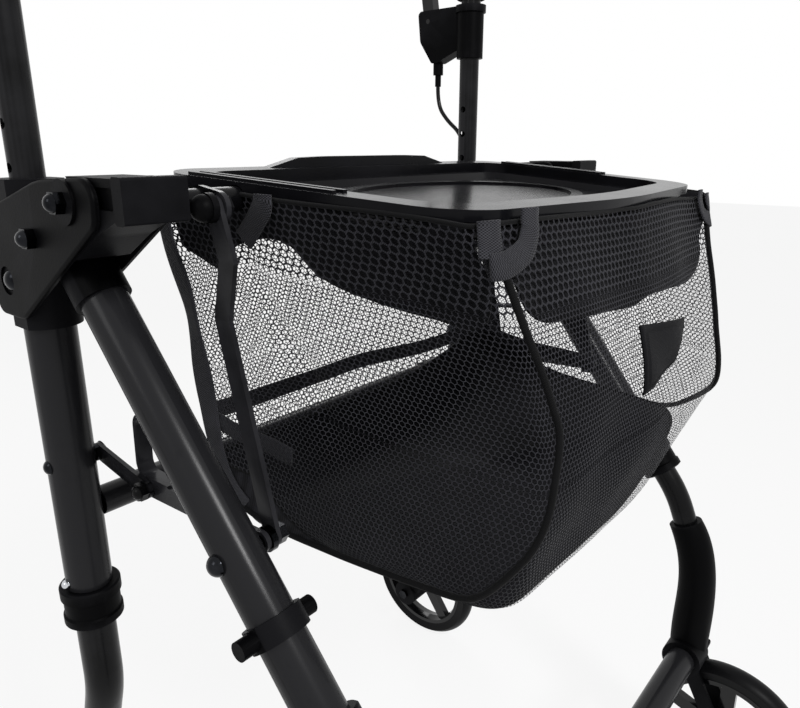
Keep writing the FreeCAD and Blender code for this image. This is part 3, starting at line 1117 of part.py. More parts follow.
def tray():
    """Moulded tray: hooked lip, stepped wall, flat floor with an oval ring and a cup hollow."""
    lip = tray_layer(0, 0, 0, TRAY_LIP_H)
    lip = lip.cut(tray_layer(TRAY_WALL, TRAY_WALL, TRAY_WALL, TRAY_LIP_H + OVERRUN))
    well = tray_layer(TRAY_LIP_W - TRAY_WALL, 0, TRAY_LIP_W - TRAY_WALL, TRAY_STEP_DROP + TRAY_WALL)
    lower = tray_layer(TRAY_LIP_W + TRAY_STEP - TRAY_WALL, TRAY_STEP_DROP,
                       TRAY_LIP_W + TRAY_STEP * 2 - TRAY_WALL, TRAY_DEPTH + TRAY_WALL)
    top = tray_layer(0, 0, 0, TRAY_WALL)
    body = top.fuse([lip, well, lower])
    body = body.cut(tray_layer(TRAY_LIP_W, -OVERRUN, TRAY_LIP_W, TRAY_STEP_DROP))
    body = body.cut(tray_layer(TRAY_LIP_W + TRAY_STEP, TRAY_STEP_DROP - OVERRUN,
                               TRAY_LIP_W + TRAY_STEP * 2, TRAY_DEPTH))
    normal = V(0, -TILT, 1).normalize()
    middle_ahead = (TRAY_REAR_AHEAD + TRAY_FRONT_AHEAD) / 2
    floor = point(0, middle_ahead, rim_z(middle_ahead) - TRAY_DEPTH)
    major = TRAY_FRONT_HALF - TRAY_LIP_W - TRAY_STEP * 2 - TRAY_OVAL_W
    minor = (TRAY_FRONT_AHEAD - TRAY_REAR_AHEAD) / 2 - TRAY_LIP_W - TRAY_STEP * 2 - TRAY_OVAL_W
    frame = FreeCAD.Placement(floor - normal * (TRAY_WALL / 2), FreeCAD.Rotation(V(0, 0, 1), normal))
    rings = []
    for shrink in (0, TRAY_OVAL_W):
        ellipse = Part.Ellipse(V(0, 0, 0), major - shrink, minor - shrink).toShape()
        disc = Part.Face(Part.Wire([ellipse])).extrude(V(0, 0, TRAY_WALL / 2 + TRAY_OVAL_H))
        disc.Placement = frame
        rings.append(disc)
    oval = rings[0].cut(rings[1])
    ribs = []
    for _, side in SIDES:
        for share in (0.3, 0.7):
            a_ahead, b_ahead = TRAY_REAR_AHEAD + TRAY_REAR_CORNER_R, TRAY_FRONT_AHEAD - TRAY_FRONT_CORNER_R * 2
            inset = TRAY_LIP_W * share
            a = point(side * (rim_half(a_ahead) - inset), a_ahead, rim_z(a_ahead) - TRAY_RIB_H / 2)
            b = point(side * (rim_half(b_ahead) - inset), b_ahead, rim_z(b_ahead) - TRAY_RIB_H / 2)
            across = (b - a).cross(normal).normalize() * (TRAY_RIB_W / 2)
            wire = Part.makePolygon([a + across, b + across, b - across, a - across, a + across])
            ribs.append(Part.Face(wire).extrude(normal * TRAY_RIB_H * 1.5))
    body = body.fuse([oval, tray_hump()] + ribs)
    edge = TRAY_LIP_W + TRAY_STEP * 2.5 + TRAY_CUP_R
    cup_ahead = TRAY_FRONT_AHEAD - edge
    cup_floor = point(rim_half(cup_ahead) - edge, cup_ahead, rim_z(cup_ahead) - TRAY_DEPTH)
    cup = Part.makeCylinder(TRAY_CUP_R + TRAY_WALL, TRAY_CUP_DEPTH + TRAY_WALL,
                            cup_floor - normal * (TRAY_CUP_DEPTH + TRAY_WALL), normal)
    hollow = Part.makeCylinder(TRAY_CUP_R, TRAY_CUP_DEPTH + TRAY_OVAL_H * 2, cup_floor - normal * TRAY_CUP_DEPTH, normal)
    notches = []
    for _, side in SIDES:
        z = ring_z(STUB_AHEAD)
        notch = Part.makeBox(TRAY_LIP_W / 2, (RING_R + GAP * 2) * 2, TRAY_LIP_H * 2)
        notch.translate(point(side * rim_half(STUB_AHEAD) - TRAY_LIP_W / 4, STUB_AHEAD + RING_R + GAP * 2, z - TRAY_LIP_H * 2))
        top = cross_rod(side, STUB_AHEAD, z, rim_half(STUB_AHEAD) - TRAY_LIP_W / 4,
                        rim_half(STUB_AHEAD) + TRAY_LIP_W / 4, RING_R + GAP * 2)
        notches += [notch, top]
    return body.fuse(cup).cut([hollow] + notches).removeSplitter()


def basket_level(row, inset, lift):
    """One level of the bag: rear and front places, half widths, bow and heights.

    A row of shares gives how far the rear wall stands in from the hem, how far the front
    wall stands out and the rear and front of the side walls draw in (all in belly sizes),
    how much of the front's bow is left, and how deep the rear and the front hang."""
    rear_in, front_out, rear_side, front_side, bow, rear_drop, front_drop = row
    rear = TRAY_REAR_AHEAD - BASKET_PROUD + rear_in * BASKET_BELLY
    front = TRAY_FRONT_AHEAD + BASKET_PROUD + front_out * BASKET_BELLY
    z_rear = rim_z(TRAY_REAR_AHEAD) - BASKET_DROP - rear_drop * BASKET_DEPTH + lift
    z_front = rim_z(TRAY_FRONT_AHEAD) - BASKET_DROP - front_drop * BASKET_DEPTH + lift
    rear_half = TRAY_REAR_HALF + BASKET_PROUD - rear_side * BASKET_BELLY - inset
    front_half = TRAY_FRONT_HALF + BASKET_PROUD - front_side * BASKET_BELLY - inset
    slope = (z_front - z_rear) / (front - rear)
    return {"rear": rear + inset, "front": front - inset, "rear_half": rear_half, "front_half": front_half,
            "bow": bow * TRAY_BOW, "z": lambda ahead: z_rear + slope * (ahead - rear)}


def basket_rows():
    shares = [
        (0.0, 0.0, 0.0, 0.0, 1.0, 0.0, 0.0),
        (0.0, 0.05, 0.03, 0.02, 0.95, 0.05, 0.05),
        (0.2, 0.82, 0.38, 0.25, 0.53, 0.315, 0.323),
        (0.32, 1.18, 0.45, 0.32, 0.4, 0.489, 0.506),
        (0.33, 1.3, 0.57, 0.38, 0.33, 0.653, 0.68),
        (0.42, 1.08, 0.88, 0.53, 0.27, 0.8, 0.836),
        (0.92, 0.62, 1.28, 0.75, 0.27, 0.937, 0.95),
        (2.18, 0.02, 1.68, 1.02, 0.2, 1.047, 1.0),
    ]
    return shares


def basket_sections(inset, lift):
    """Outlines of the hanging bag from its top down to its floor."""
    wires = []
    for row in basket_rows():
        level = basket_level(row, inset, lift)
        half, front = level["front_half"], level["front"]
        turn = math.atan2(level["bow"], half)
        middle = (TRAY_BOW_R * math.tan(turn / 2), front + level["bow"] - TRAY_BOW_R * (1 / math.cos(turn) - 1))
        places = [(level["rear_half"], level["rear"]), (half, front), middle]
        places += [(-x, ahead) for x, ahead in reversed(places)]
        corner = BASKET_CORNER_R - inset
        radii = [corner, corner, TRAY_BOW_R * 0.9]
        wires.append(outline([point(x, ahead, level["z"](ahead)) for x, ahead in places], radii + radii[::-1]))
    return wires


def basket_at(depth):
    """Shares of the level at which the front hangs to the given share of the depth."""
    rows = basket_rows()
    for upper, lower in zip(rows, rows[1:]):
        if depth <= lower[-1]:
            part = (depth - upper[-1]) / (lower[-1] - upper[-1])
            return [a + (b - a) * part for a, b in zip(upper, lower)]
    return rows[-1]


def spans(count, low, high):
    """Even cells between low and high, each opened by the basket's open share."""
    pitch = (high - low) / count
    margin = pitch * (1 - BASKET_OPEN) / 2
    return [(low + pitch * i + margin, low + pitch * (i + 1) - margin) for i in range(count)]


def basket_holes():
    """Plain grid of openings that stands for the net: sides, front and rear."""
    holes = []
    shares = {"rows": (0.1, 0.9), "side": (0.12, 0.86), "end": (-0.8, 0.8)}
    for upper, lower in spans(BASKET_ROWS, *shares["rows"]):
        a, b = (basket_level(basket_at(depth), 0, 0) for depth in (upper, lower))
        for left, right in spans(BASKET_SIDE_HOLES, *shares["side"]):
            cell = [(level["rear"] + (level["front"] - level["rear"]) * u, level)
                    for u, level in ((left, a), (right, a), (right, b), (left, b))]
            places = [point(-HALF_TRACK, ahead, level["z"](ahead)) for ahead, level in cell]
            holes.append(Part.Face(Part.makePolygon(places + places[:1])).extrude(V(HALF_TRACK * 2, 0, 0)))
        for end, reach in (("front", BASKET_BELLY), ("rear", -BASKET_BELLY)):
            for left, right in spans(BASKET_END_HOLES, *shares["end"]):
                places = [point(level[end + "_half"] * u, level[end] - reach * 0.4, level["z"](level[end]))
                          for u, level in ((left, a), (right, a), (right, b), (left, b))]
                ahead = (a[end] + b[end]) / 2 - reach * 0.4
                places = [V(p.x, LEG_Y - ahead, p.z) for p in places]
                holes.append(Part.Face(Part.makePolygon(places + places[:1])).extrude(V(0, -reach * 1.4, 0)))
    return holes


def basket():
    """Mesh basket: a thin hanging shell round the carrier ring, with a ledge under the ring."""
    outer = Part.makeLoft(basket_sections(0, 0), True)
    inner = Part.makeLoft(basket_sections(BASKET_WALL, BASKET_WALL), True)
    ledge = Part.Face(tray_outline(BASKET_WALL / 2 - BASKET_PROUD, LEDGE_DROP)).extrude(V(0, 0, -BASKET_WALL))
    mouth = Part.Face(tray_outline(BASKET_HEM_W, LEDGE_DROP - OVERRUN)).extrude(V(0, 0, -BASKET_WALL - OVERRUN * 2))
    notches = []
    for _, side in SIDES:
        z, half = ring_z(STUB_AHEAD), RING_R + GAP * 2
        notches.append(cross_rod(side, STUB_AHEAD, z, LINK_X - BASKET_BELLY * 2, LINK_X, half))
        box = Part.makeBox(LINK_X * 2, half * 2, RING_DROP + OVERRUN)
        box.translate(point(-LINK_X, STUB_AHEAD + half, z))
        notches.append(box)
    return outer.cut(inner).fuse(ledge.cut(mouth)).cut(basket_holes() + notches)


def accessory_clip():
    """Open clip around the right front leg with an ear at each end."""
    side = -1
    middle = leg_point(side, CLIP_Z)
    along = leg_axis(side) * (CLIP_H / 2)
    band = pipe_piece(middle - along, middle + along, FRONT_R + GAP + CLIP_T, FRONT_R + GAP)
    rear = along.cross(V(1, 0, 0)).normalize()
    if rear.y < 0:
        rear = rear * -1
    ears = []
    for turn in (-1, 1):
        out = V(side, 0, 0) if turn < 0 else V(-side, 0, 0)
        root = middle + out * (FRONT_R + GAP) + rear * turn * CLIP_T / 2
        ears.append(rod(root, root + out * (CLIP_T + CLIP_EAR), CLIP_H * 0.42))
    bore = rod(middle - along * 2, middle + along * 2, FRONT_R + GAP)
    return band.fuse(ears).cut(bore).removeSplitter()


def build():
    pieces = {
        "rear_collars": rear_collars(),
        "rear_cross_tube": rear_cross_tube(),
        "bracket_cores": bracket_cores(),
        "frame_bolts": frame_bolts(),
        "front_collars": front_collars(),
        "front_cross_tube": front_cross_tube(),
        "accessory_clip": accessory_clip(),
        "link_bolts": link_bolts(),
        "carrier_ring": carrier_ring(),
        "tray": tray(),
        "basket": basket(),
        "bracket_inner_covers": Part.makeCompound([bracket_cover(side, False) for _, side in SIDES]),
    }
    for name, side in SIDES:
        pieces["rear_leg_" + name] = rear_leg(side)
        pieces["front_leg_" + name] = front_leg(side)
        pieces["rear_axle_bracket_" + name] = rear_axle_bracket(side)
        pieces["brake_shoe_" + name] = brake_shoe(side)
        pieces["front_bracket_" + name] = front_bracket(side)
        pieces["castor_fork_" + name] = castor_fork(side)
        pieces["bracket_cover_" + name] = bracket_cover(side, True)
        pieces["tray_arm_" + name] = tray_arm(side)
        pieces["link_" + name] = link(side)
        pieces["spreader_rear_" + name] = spreader_rear(side)
        pieces["spreader_front_" + name] = spreader_front(side)
        pieces["handle_tube_" + name] = handle_tube(side)
        pieces["grip_" + name] = grip(side)
        pieces["brake_housing_" + name] = brake_housing(side)
        pieces["brake_lever_" + name] = brake_lever(side)
        pieces["lock_knob_" + name] = lock_knob(side)
        pieces["brake_cable_" + name] = brake_cable(side, name)
        for place, front in (("front", True), ("rear", False)):
            pieces[place + "_tyre_" + name] = tyre(side, front)
            pieces[place + "_rim_" + name] = rim(side, front)
        rear_spot = point(side * HALF_TRACK, 0, REAR_SNAP_Z)
        pieces["rear_snap_button_" + name] = snap_button(side, rear_spot, REAR_INSERT_D / 2, REAR_R, 0)
        pieces["front_snap_button_" + name] = snap_button(
            side, leg_point(side, FRONT_SNAP_Z), FRONT_INSERT_D / 2, FRONT_R, LEG_TURN)
    return pieces


os.makedirs("parts", exist_ok=True)
for node, shape in build().items():
    shape.exportStep("parts/" + node + ".step")
    print(node, "solids", len(shape.Solids), "valid", shape.isValid())
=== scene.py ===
import math

import bpy
import numpy as np
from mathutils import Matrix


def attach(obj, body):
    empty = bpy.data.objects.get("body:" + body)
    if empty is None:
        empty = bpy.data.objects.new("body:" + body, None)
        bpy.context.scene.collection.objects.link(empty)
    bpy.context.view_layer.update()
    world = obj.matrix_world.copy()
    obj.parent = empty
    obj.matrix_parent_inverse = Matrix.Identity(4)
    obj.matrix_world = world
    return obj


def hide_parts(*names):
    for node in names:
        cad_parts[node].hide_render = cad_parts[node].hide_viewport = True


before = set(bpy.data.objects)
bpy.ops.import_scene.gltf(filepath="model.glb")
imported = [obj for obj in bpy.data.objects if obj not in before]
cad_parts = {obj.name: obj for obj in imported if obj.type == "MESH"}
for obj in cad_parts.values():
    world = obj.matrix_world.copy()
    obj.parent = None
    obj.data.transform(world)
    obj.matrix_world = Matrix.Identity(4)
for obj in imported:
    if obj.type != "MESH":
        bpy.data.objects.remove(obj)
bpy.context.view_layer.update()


# ---------------------------------------------------------------- camera

# The picture was taken from close by, off the walker's right side and a little above its
# tray. This camera was fitted to the legs, the tray and the holes in the handle tube.
MM = 0.001
REAR_LEG_Y = 135.0      # where the rear legs stand on the frame's y axis, in mm
CAMERA_AHEAD = 454.5    # mm ahead of the rear legs
CAMERA_DOWN_DEG = 16.95
CAMERA_TURN_DEG = -50.2

camera = bpy.data.objects.new("camera", bpy.data.cameras.new("camera"))
camera.data.sensor_fit = "HORIZONTAL"
camera.data.sensor_width = 36.0
camera.data.lens = 30.735
camera.data.clip_start = 0.01
camera.location = (-0.425, (REAR_LEG_Y - CAMERA_AHEAD) * MM, 0.695)
camera.rotation_euler = (math.radians(90.0 - CAMERA_DOWN_DEG), 0.0, math.radians(CAMERA_TURN_DEG))
bpy.context.scene.collection.objects.link(camera)
bpy.context.scene.camera = camera


# ---------------------------------------------------------------- brake cables

# One cable for each brake, a steel core in a black PVC jacket. It leaves a ferrule under
# the lever's housing, bows forward under its own stiffness and enters the handle tube.
HALF_TRACK = 238.0
CABLE_ROUTE = [(42.0, 759.0), (42.0, 740.0), (29.0, 723.0), (10.0, 709.0), (2.5, 688.0), (3.5, 640.0), (2.5, 596.0)]
CABLE_D = 4.4


def place(x, ahead, z):
    """Point in metres, from millimetres across, ahead of the rear legs and up."""
    return np.array([x, REAR_LEG_Y - ahead, z]) * MM


def linear(code):
    """Linear RGBA of an sRGB hex colour: (c / 12.92) below 0.04045, else ((c + 0.055) / 1.055) ^ 2.4."""
    srgb = np.array([int(code[i:i + 2], 16) for i in (0, 2, 4)]) / 255.0
    return (*np.where(srgb <= 0.04045, srgb / 12.92, ((srgb + 0.055) / 1.055) ** 2.4), 1.0)


def node(tree, kind, inputs=None, **settings):
    """Adds one shader node, sets its properties, and links or sets its inputs."""
    made = tree.nodes.new("ShaderNode" + kind)
    for key, value in settings.items():
        setattr(made, key, value)
    for key, value in (inputs or {}).items():
        if isinstance(value, bpy.types.NodeSocket):
            tree.links.new(value, made.inputs[key])
        else:
            made.inputs[key].default_value = value
    return made


def new_finish(name):
    """An empty material with its node tree and its Principled shader."""
    material = bpy.data.materials.new(name)
    material.use_nodes = True
    return material, material.node_tree, material.node_tree.nodes["Principled BSDF"]


def moulded(name, dark, light, rough, gloss, grain_mm, relief, cloud_mm=111.0, rubbed=None):
    """Plastic, rubber or paint with a moulded or sprayed skin.

    Colour goes from dark to light in clouds cloud_mm across, and roughness goes 0.06 either
    way with them. A fine noise of grain_mm raises the skin by relief. Where the surface is
    convex, at a pointiness over about 0.55, it takes the rubbed colour, broken up by scuffs
    17 mm across.
    """
    material, tree, shader = new_finish(name)
    spot = node(tree, "TexCoord").outputs["Object"]
    clouds = node(tree, "TexNoise", {"Vector": spot, "Scale": 1 / (cloud_mm * MM), "Detail": 5.0, "Roughness": 0.62})
    grain = node(tree, "TexNoise", {"Vector": spot, "Scale": 1 / (grain_mm * MM), "Detail": 3.0, "Roughness": 0.6})
    share = node(tree, "MapRange", {"Value": clouds.outputs["Fac"], "From Min": 0.3, "From Max": 0.7})
    colour = node(tree, "Mix", {"Factor": share.outputs["Result"], "A": linear(dark), "B": linear(light)},
                  data_type="RGBA")
    if rubbed:
        scuffs = node(tree, "TexNoise", {"Vector": spot, "Scale": 1 / (16.7 * MM), "Detail": 6.0})
        broken = node(tree, "MapRange", {"Value": scuffs.outputs["Fac"], "To Min": -0.05, "To Max": 0.05})
        edge = node(tree, "Math", {0: node(tree, "NewGeometry").outputs["Pointiness"], 1: broken.outputs["Result"]},
                    operation="ADD")
        worn = node(tree, "MapRange", {"Value": edge.outputs[0], "From Min": 0.545, "From Max": 0.62})
        colour = node(tree, "Mix", {"Factor": worn.outputs["Result"], "A": colour.outputs["Result"],
                                    "B": linear(rubbed)}, data_type="RGBA")
    roughness = node(tree, "MapRange", {"Value": clouds.outputs["Fac"], "To Min": rough - 0.06, "To Max": rough + 0.06})
    skin = node(tree, "Bump", {"Height": grain.outputs["Fac"], "Strength": relief, "Distance": 0.3 * MM})
    tree.links.new(colour.outputs["Result"], shader.inputs["Base Color"])
    tree.links.new(roughness.outputs["Result"], shader.inputs["Roughness"])
    tree.links.new(skin.outputs["Normal"], shader.inputs["Normal"])
    shader.inputs["Specular IOR Level"].default_value = gloss
    return material


# Extruded PVC: near black and smooth, so it carries one thin line of light.
CABLE_PVC = moulded("cable_pvc", "060607", "0e0e0f", rough=0.24, gloss=0.15, grain_mm=2.0, relief=0.1)

for side, name in ((1, "left"), (-1, "right")):
    data = bpy.data.curves.new("brake_cable_" + name, "CURVE")
    data.dimensions = "3D"
    line = data.splines.new("NURBS")
    line.points.add(len(CABLE_ROUTE) - 1)
    for spot, (back, z) in zip(line.points, CABLE_ROUTE):
        spot.co = (*place(side * HALF_TRACK, -back, z), 1.0)
    line.order_u = 3
    line.use_endpoint_u = True
    data.bevel_depth = CABLE_D / 2 * MM
    data.bevel_resolution = 5
    data.resolution_u = 16
    data.use_fill_caps = True
    data.materials.append(CABLE_PVC)
    flex = bpy.data.objects.new("flex_" + name, data)
    bpy.context.scene.collection.objects.link(flex)
    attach(flex, "handle_" + name)
    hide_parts("brake_cable_" + name)


# ---------------------------------------------------------------- legs, cross tubes and handle tubes

# Aluminium tube with a satin black powder coat, cut, bent and pushed together. The coat is
# even, with a broad soft line of light and slightly rubbed cut ends.

def dress(material, *pieces):
    """Gives the frame's pieces of these names, left and right alike, their finish."""
    for name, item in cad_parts.items():
        if name.removesuffix("_left").removesuffix("_right") in pieces:
            item.data.materials.clear()
            item.data.materials.append(material)


POWDER_COAT = moulded("powder_coat", "050506", "0a0a0b", rough=0.25, gloss=0.12, grain_mm=0.67, relief=0.05,
                      rubbed="202022")
dress(POWDER_COAT, "rear_leg", "front_leg", "rear_cross_tube", "front_cross_tube", "handle_tube")


# ---------------------------------------------------------------- spreaders, links and carrier ring

# Flat steel bars with a knee bolt, and a ring of bent rod under the tray. All are dipped in
# black enamel, a little glossier than the tubes, and rubbed grey along the edges.
BAR_ENAMEL = moulded("bar_enamel", "050506", "0b0b0d", rough=0.24, gloss=0.1, grain_mm=0.83, relief=0.08,
                     rubbed="2a2a2d")
dress(BAR_ENAMEL, "spreader_rear", "spreader_front", "link", "carrier_ring")


# ---------------------------------------------------------------- bolts and snap buttons

# The bolts are domed steel with a black zinc plate, and the sprung snap buttons are
# nickel-plated steel pins, the only bright points on the frame.

def plated(name, dark, light, rough):
    """Plated steel: clouds 11 mm across take it from dark to light, over turning marks 0.7 mm apart."""
    material, tree, shader = new_finish(name)
    spot = node(tree, "TexCoord").outputs["Object"]
    marks = node(tree, "TexNoise", {"Vector": spot, "Scale": 1 / (0.71 * MM), "Detail": 2.0})
    clouds = node(tree, "TexNoise", {"Vector": spot, "Scale": 1 / (11.1 * MM), "Detail": 4.0})
    share = node(tree, "MapRange", {"Value": clouds.outputs["Fac"], "From Min": 0.3, "From Max": 0.75})
    colour = node(tree, "Mix", {"Factor": share.outputs["Result"], "A": linear(dark), "B": linear(light)},
                  data_type="RGBA")
    roughness = node(tree, "MapRange", {"Value": clouds.outputs["Fac"], "To Min": rough, "To Max": rough + 0.15})
    turned = node(tree, "Bump", {"Height": marks.outputs["Fac"], "Strength": 0.15, "Distance": 0.2 * MM})
    tree.links.new(colour.outputs["Result"], shader.inputs["Base Color"])
    tree.links.new(roughness.outputs["Result"], shader.inputs["Roughness"])
    tree.links.new(turned.outputs["Normal"], shader.inputs["Normal"])
    shader.inputs["Metallic"].default_value = 1.0
    return material


dress(plated("black_zinc", "101113", "2c2d30", rough=0.08), "frame_bolts", "link_bolts")
dress(plated("bright_nickel", "a8abb0", "f0f2f4", rough=0.1), "rear_snap_button", "front_snap_button")


# ---------------------------------------------------------------- moulded brackets, collars, arms and forks

# Glass-filled nylon, moulded in one shot and clipped or bolted over the tubes. Its skin is
# finely textured, so it stays dull and deep black even where it faces the light.
NYLON = moulded("moulded_nylon", "040405", "09090a", rough=0.45, gloss=0.03, grain_mm=1.43, relief=0.3, rubbed="161618")
dress(NYLON, "bracket_cores", "bracket_cover", "bracket_inner_covers", "rear_collars", "front_collars", "tray_arm",
      "front_bracket", "rear_axle_bracket", "castor_fork", "brake_shoe", "brake_housing", "lock_knob",
      "accessory_clip", "basket", "brake_cable")


# ---------------------------------------------------------------- wheels and brake levers

# The tyres are soft PVC, dull from their first day, pressed on rims of gloss nylon. The
# levers are moulded of the same gloss nylon, which shows small sharp highlights.
TYRE_PVC = moulded("tyre_pvc", "08080a", "131314", rough=0.4, gloss=0.08, grain_mm=2.5, relief=0.25)
GLOSS_NYLON = moulded("gloss_nylon", "050506", "0b0b0d", rough=0.14, gloss=0.3, grain_mm=1.1, relief=0.03)
dress(TYRE_PVC, "front_tyre", "rear_tyre")
dress(GLOSS_NYLON, "front_rim", "rear_rim", "brake_lever")


# ---------------------------------------------------------------- grips

# Closed-cell EVA foam pushed over the handle tubes: matt, with open pores 0.6 mm across.
GRIP_FOAM = moulded("grip_foam", "08080a", "121214", rough=0.75, gloss=0.1, grain_mm=0.63, relief=0.6)
dress(GRIP_FOAM, "grip")


# ---------------------------------------------------------------- tray

# One sheet of polypropylene, vacuum-formed and trimmed, resting on the carrier ring. It is
# smooth enough to mirror the room in its floor and along its lip.
TRAY_SHEET = moulded("tray_polypropylene", "0a0a0c", "131316", rough=0.2, gloss=0.07, grain_mm=1.92, relief=0.12,
                     cloud_mm=71.4)
dress(TRAY_SHEET, "tray")


# ---------------------------------------------------------------- basket: the bag's shape

# A bag of knitted net hangs from the carrier ring, wide at the rear and narrow at the front.
# One table of points holds its shape, and every sewn piece takes its place from it: share u
# goes round, from the rear right corner past the front, and share v goes down.
U_STEPS, V_STEPS = 720, 121
# Each level: v; how far ahead the rear wall and the front corners lie; how far the front
# bows beyond them; half the width at the rear and at the front; height at each.
LEVELS = np.array([
    [0.00, 56.2, 277.6, 15.0, 189.9, 165.5, 674.6, 659.6],
    [0.05, 56.4, 281.0, 14.0, 188.3, 162.4, 664.0, 649.0],
    [0.16, 57.9, 291.8, 11.0, 185.2, 155.1, 640.0, 624.0],
    [0.32, 61.5, 304.6, 8.0, 180.2, 149.4, 606.0, 589.0],
    [0.50, 65.8, 314.7, 6.0, 177.9, 146.5, 568.0, 549.0],
    [0.68, 65.2, 315.0, 5.0, 176.6, 150.3, 532.0, 511.0],
    [0.82, 68.1, 306.4, 4.0, 175.8, 149.8, 498.0, 477.0],
    [0.92, 77.3, 298.8, 4.0, 173.7, 146.0, 464.0, 452.0],
    [1.00, 96.1, 290.3, 3.0, 170.1, 140.2, 446.0, 441.5],
])
# u at the rear right, front right, front middle, front left and rear left, and back again.
CORNER_SHARES = np.array([0.0, 0.195, 0.335, 0.475, 0.67, 1.0])
MIRROR_SHARE = 0.67     # u of a place on the left is this less the u of its mirror


def unit(vectors):
    """Vectors over their lengths."""
    return vectors / np.maximum(np.linalg.norm(vectors, axis=-1, keepdims=True), 1e-12)


def resample(points, count):
    """Evenly spaced points on a smooth line through the given ones.

    Between two points the line is a cubic that meets each with the slope of its neighbours,
    and the even spacing is read off its running length.
    """
    points = np.asarray(points, float)
    last = len(points) - 1
    slopes = np.gradient(points, axis=0)
    t = np.linspace(0, last, count * 4)
    i = np.minimum(t.astype(int), last - 1)
    s = (t - i)[:, None]
    curve = ((2 * s ** 3 - 3 * s ** 2 + 1) * points[i] + (s ** 3 - 2 * s ** 2 + s) * slopes[i]
             + (3 * s ** 2 - 2 * s ** 3) * points[i + 1] + (s ** 3 - s ** 2) * slopes[i + 1])
    run = np.concatenate([[0], np.cumsum(np.linalg.norm(np.diff(curve, axis=0), axis=1))])
    even = np.linspace(0, run[-1], count)
    return np.stack([np.interp(even, run, column) for column in curve.T], axis=1)


def taut_bag():
    """The bag pulled tight: each level is a straight-sided loop through its five corners.

    The corners are rounded by a moving average round the loop, whose weight falls as one
    plus a cosine to nothing at its reach. The reach grows over the lowest quarter.
    """
    v = np.linspace(0, 1, V_STEPS)
    fine = resample(LEVELS, 400)
    level = [np.interp(v, fine[:, 0], column) for column in fine.T[1:]]
    rear, front, bow, rear_half, front_half, rear_z, front_z = level
    corners =np.array([place(-rear_half, rear, rear_z), place(-front_half, front, front_z),
                        place(0 * bow, front + bow, front_z - bow * 0.07),
                        place(front_half, front, front_z), place(rear_half, rear, rear_z),
                        place(-rear_half, rear, rear_z)])
    u = np.arange(U_STEPS) / U_STEPS
    nearness = np.stack([np.interp(u, CORNER_SHARES, row) for row in np.eye(len(CORNER_SHARES))], axis=1)
    loops = np.einsum("uc,cxv->vux", nearness, corners)
    reach = 10 + np.maximum(np.floor(20 * (v - 0.75) / 0.25), 0)[:, None]
    apart = np.minimum(np.arange(U_STEPS), U_STEPS - np.arange(U_STEPS))
    weight = np.where(apart < reach, 1 + np.cos(math.pi * apart / reach), 0)
    weight /= weight.sum(axis=1, keepdims=True)
    return np.fft.irfft(np.fft.rfft(loops, axis=1) * np.fft.rfft(weight, axis=1)[:, :, None], U_STEPS, axis=1)


def outward_normals(table):
    """Cross product of the step down and the step round at each point, made unit length."""
    around = np.roll(table, -1, axis=1) - np.roll(table, 1, axis=1)
    return unit(np.cross(np.gradient(table, axis=0), around))


def creased_bag(taut):
    """The bag as it hangs: hollows, ripples and folds pushed along its normals, in mm.

    Seven shallow hollows lie between the loops under the rim and fade downwards. Ripples are
    sines of u and v under bell curves, and each long fold is a narrow bell curve that leans
    forward as it falls. The left of the base is lifted with the square of x and of depth.
    """
    u = (np.arange(U_STEPS) / U_STEPS)[None, :]
    v = np.linspace(0, 1, V_STEPS)[:, None]

    def ripples(height, round_count, down_count, u_middle, u_reach, v_middle, v_reach):
        return (height * np.sin((u * round_count + v * down_count) * math.pi * 2)
                * np.exp(-((v - v_middle) / v_reach) ** 2) * np.exp(-((u - u_middle) / u_reach) ** 2))

    push = -2.2 * np.sin(u * math.pi * 2 * 7 + 0.6) * np.exp(-v / 0.25)
    push = push + ripples(2.6, 23, 2.1, 0.04, 0.05, 0.45, 0.3) + ripples(2.4, 29, -2.4, 0.64, 0.06, 0.5, 0.35)
    push = push + 1.2 * np.sin((u * 11 + v * 1.3) * math.pi * 2) * np.sin(v * math.pi)
    for start, lean in ((0.052, 0.075), (MIRROR_SHARE - 0.052, -0.075)):
        across = (u - start - lean * v ** 1.4) / 0.006
        push = push - 5.0 * np.exp(-across ** 2) * np.sin(np.clip((v - 0.1) / 0.6, 0, 1) * math.pi)
    creased = taut + outward_normals(taut) * (push * MM)[:, :, None]
    lift = 38.0 * MM * np.clip((v - 0.5) / 0.5, 0, 1) ** 2
    creased[:, :, 2] += lift * np.clip(taut[:, :, 0] / (140 * MM), 0, 1) ** 2
    # Loose net bunches up ahead of the tray's left front corner.
    bunch = np.exp(-((u - 0.452) / 0.036) ** 2) * np.exp(-(v / 0.13) ** 2)
    creased[:, :, 0] += 32.0 * MM * bunch
    creased[:, :, 2] -= 4.0 * MM * bunch
    return creased


bag = creased_bag(taut_bag())
bag_out = outward_normals(bag)


def read_table(table, u, v):
    """Value of a table at shares u and v: a weighted mean of the four entries around them."""
    across = (np.asarray(u, float) % 1.0) * U_STEPS
    down = np.clip(np.asarray(v, float), 0, 1) * (V_STEPS - 1)
    i = np.minimum(down.astype(int), V_STEPS - 2)
    j = across.astype(int) % U_STEPS
    k = (j + 1) % U_STEPS
    a, b = (down - i)[..., None], (across - np.floor(across))[..., None]
    return (table[i, j] * (1 - a) * (1 - b) + table[i, k] * (1 - a) * b
            + table[i + 1, j] * a * (1 - b) + table[i + 1, k] * a * b)


def on_bag(u, v, lift_mm=0.0):
    """Points of the bag at shares u and v, moved outwards by lift_mm along its normals."""
    lift = np.asarray(lift_mm * MM)[..., None]
    return read_table(bag, u, v) + read_table(bag_out, u, v) * lift


# ---------------------------------------------------------------- basket: net

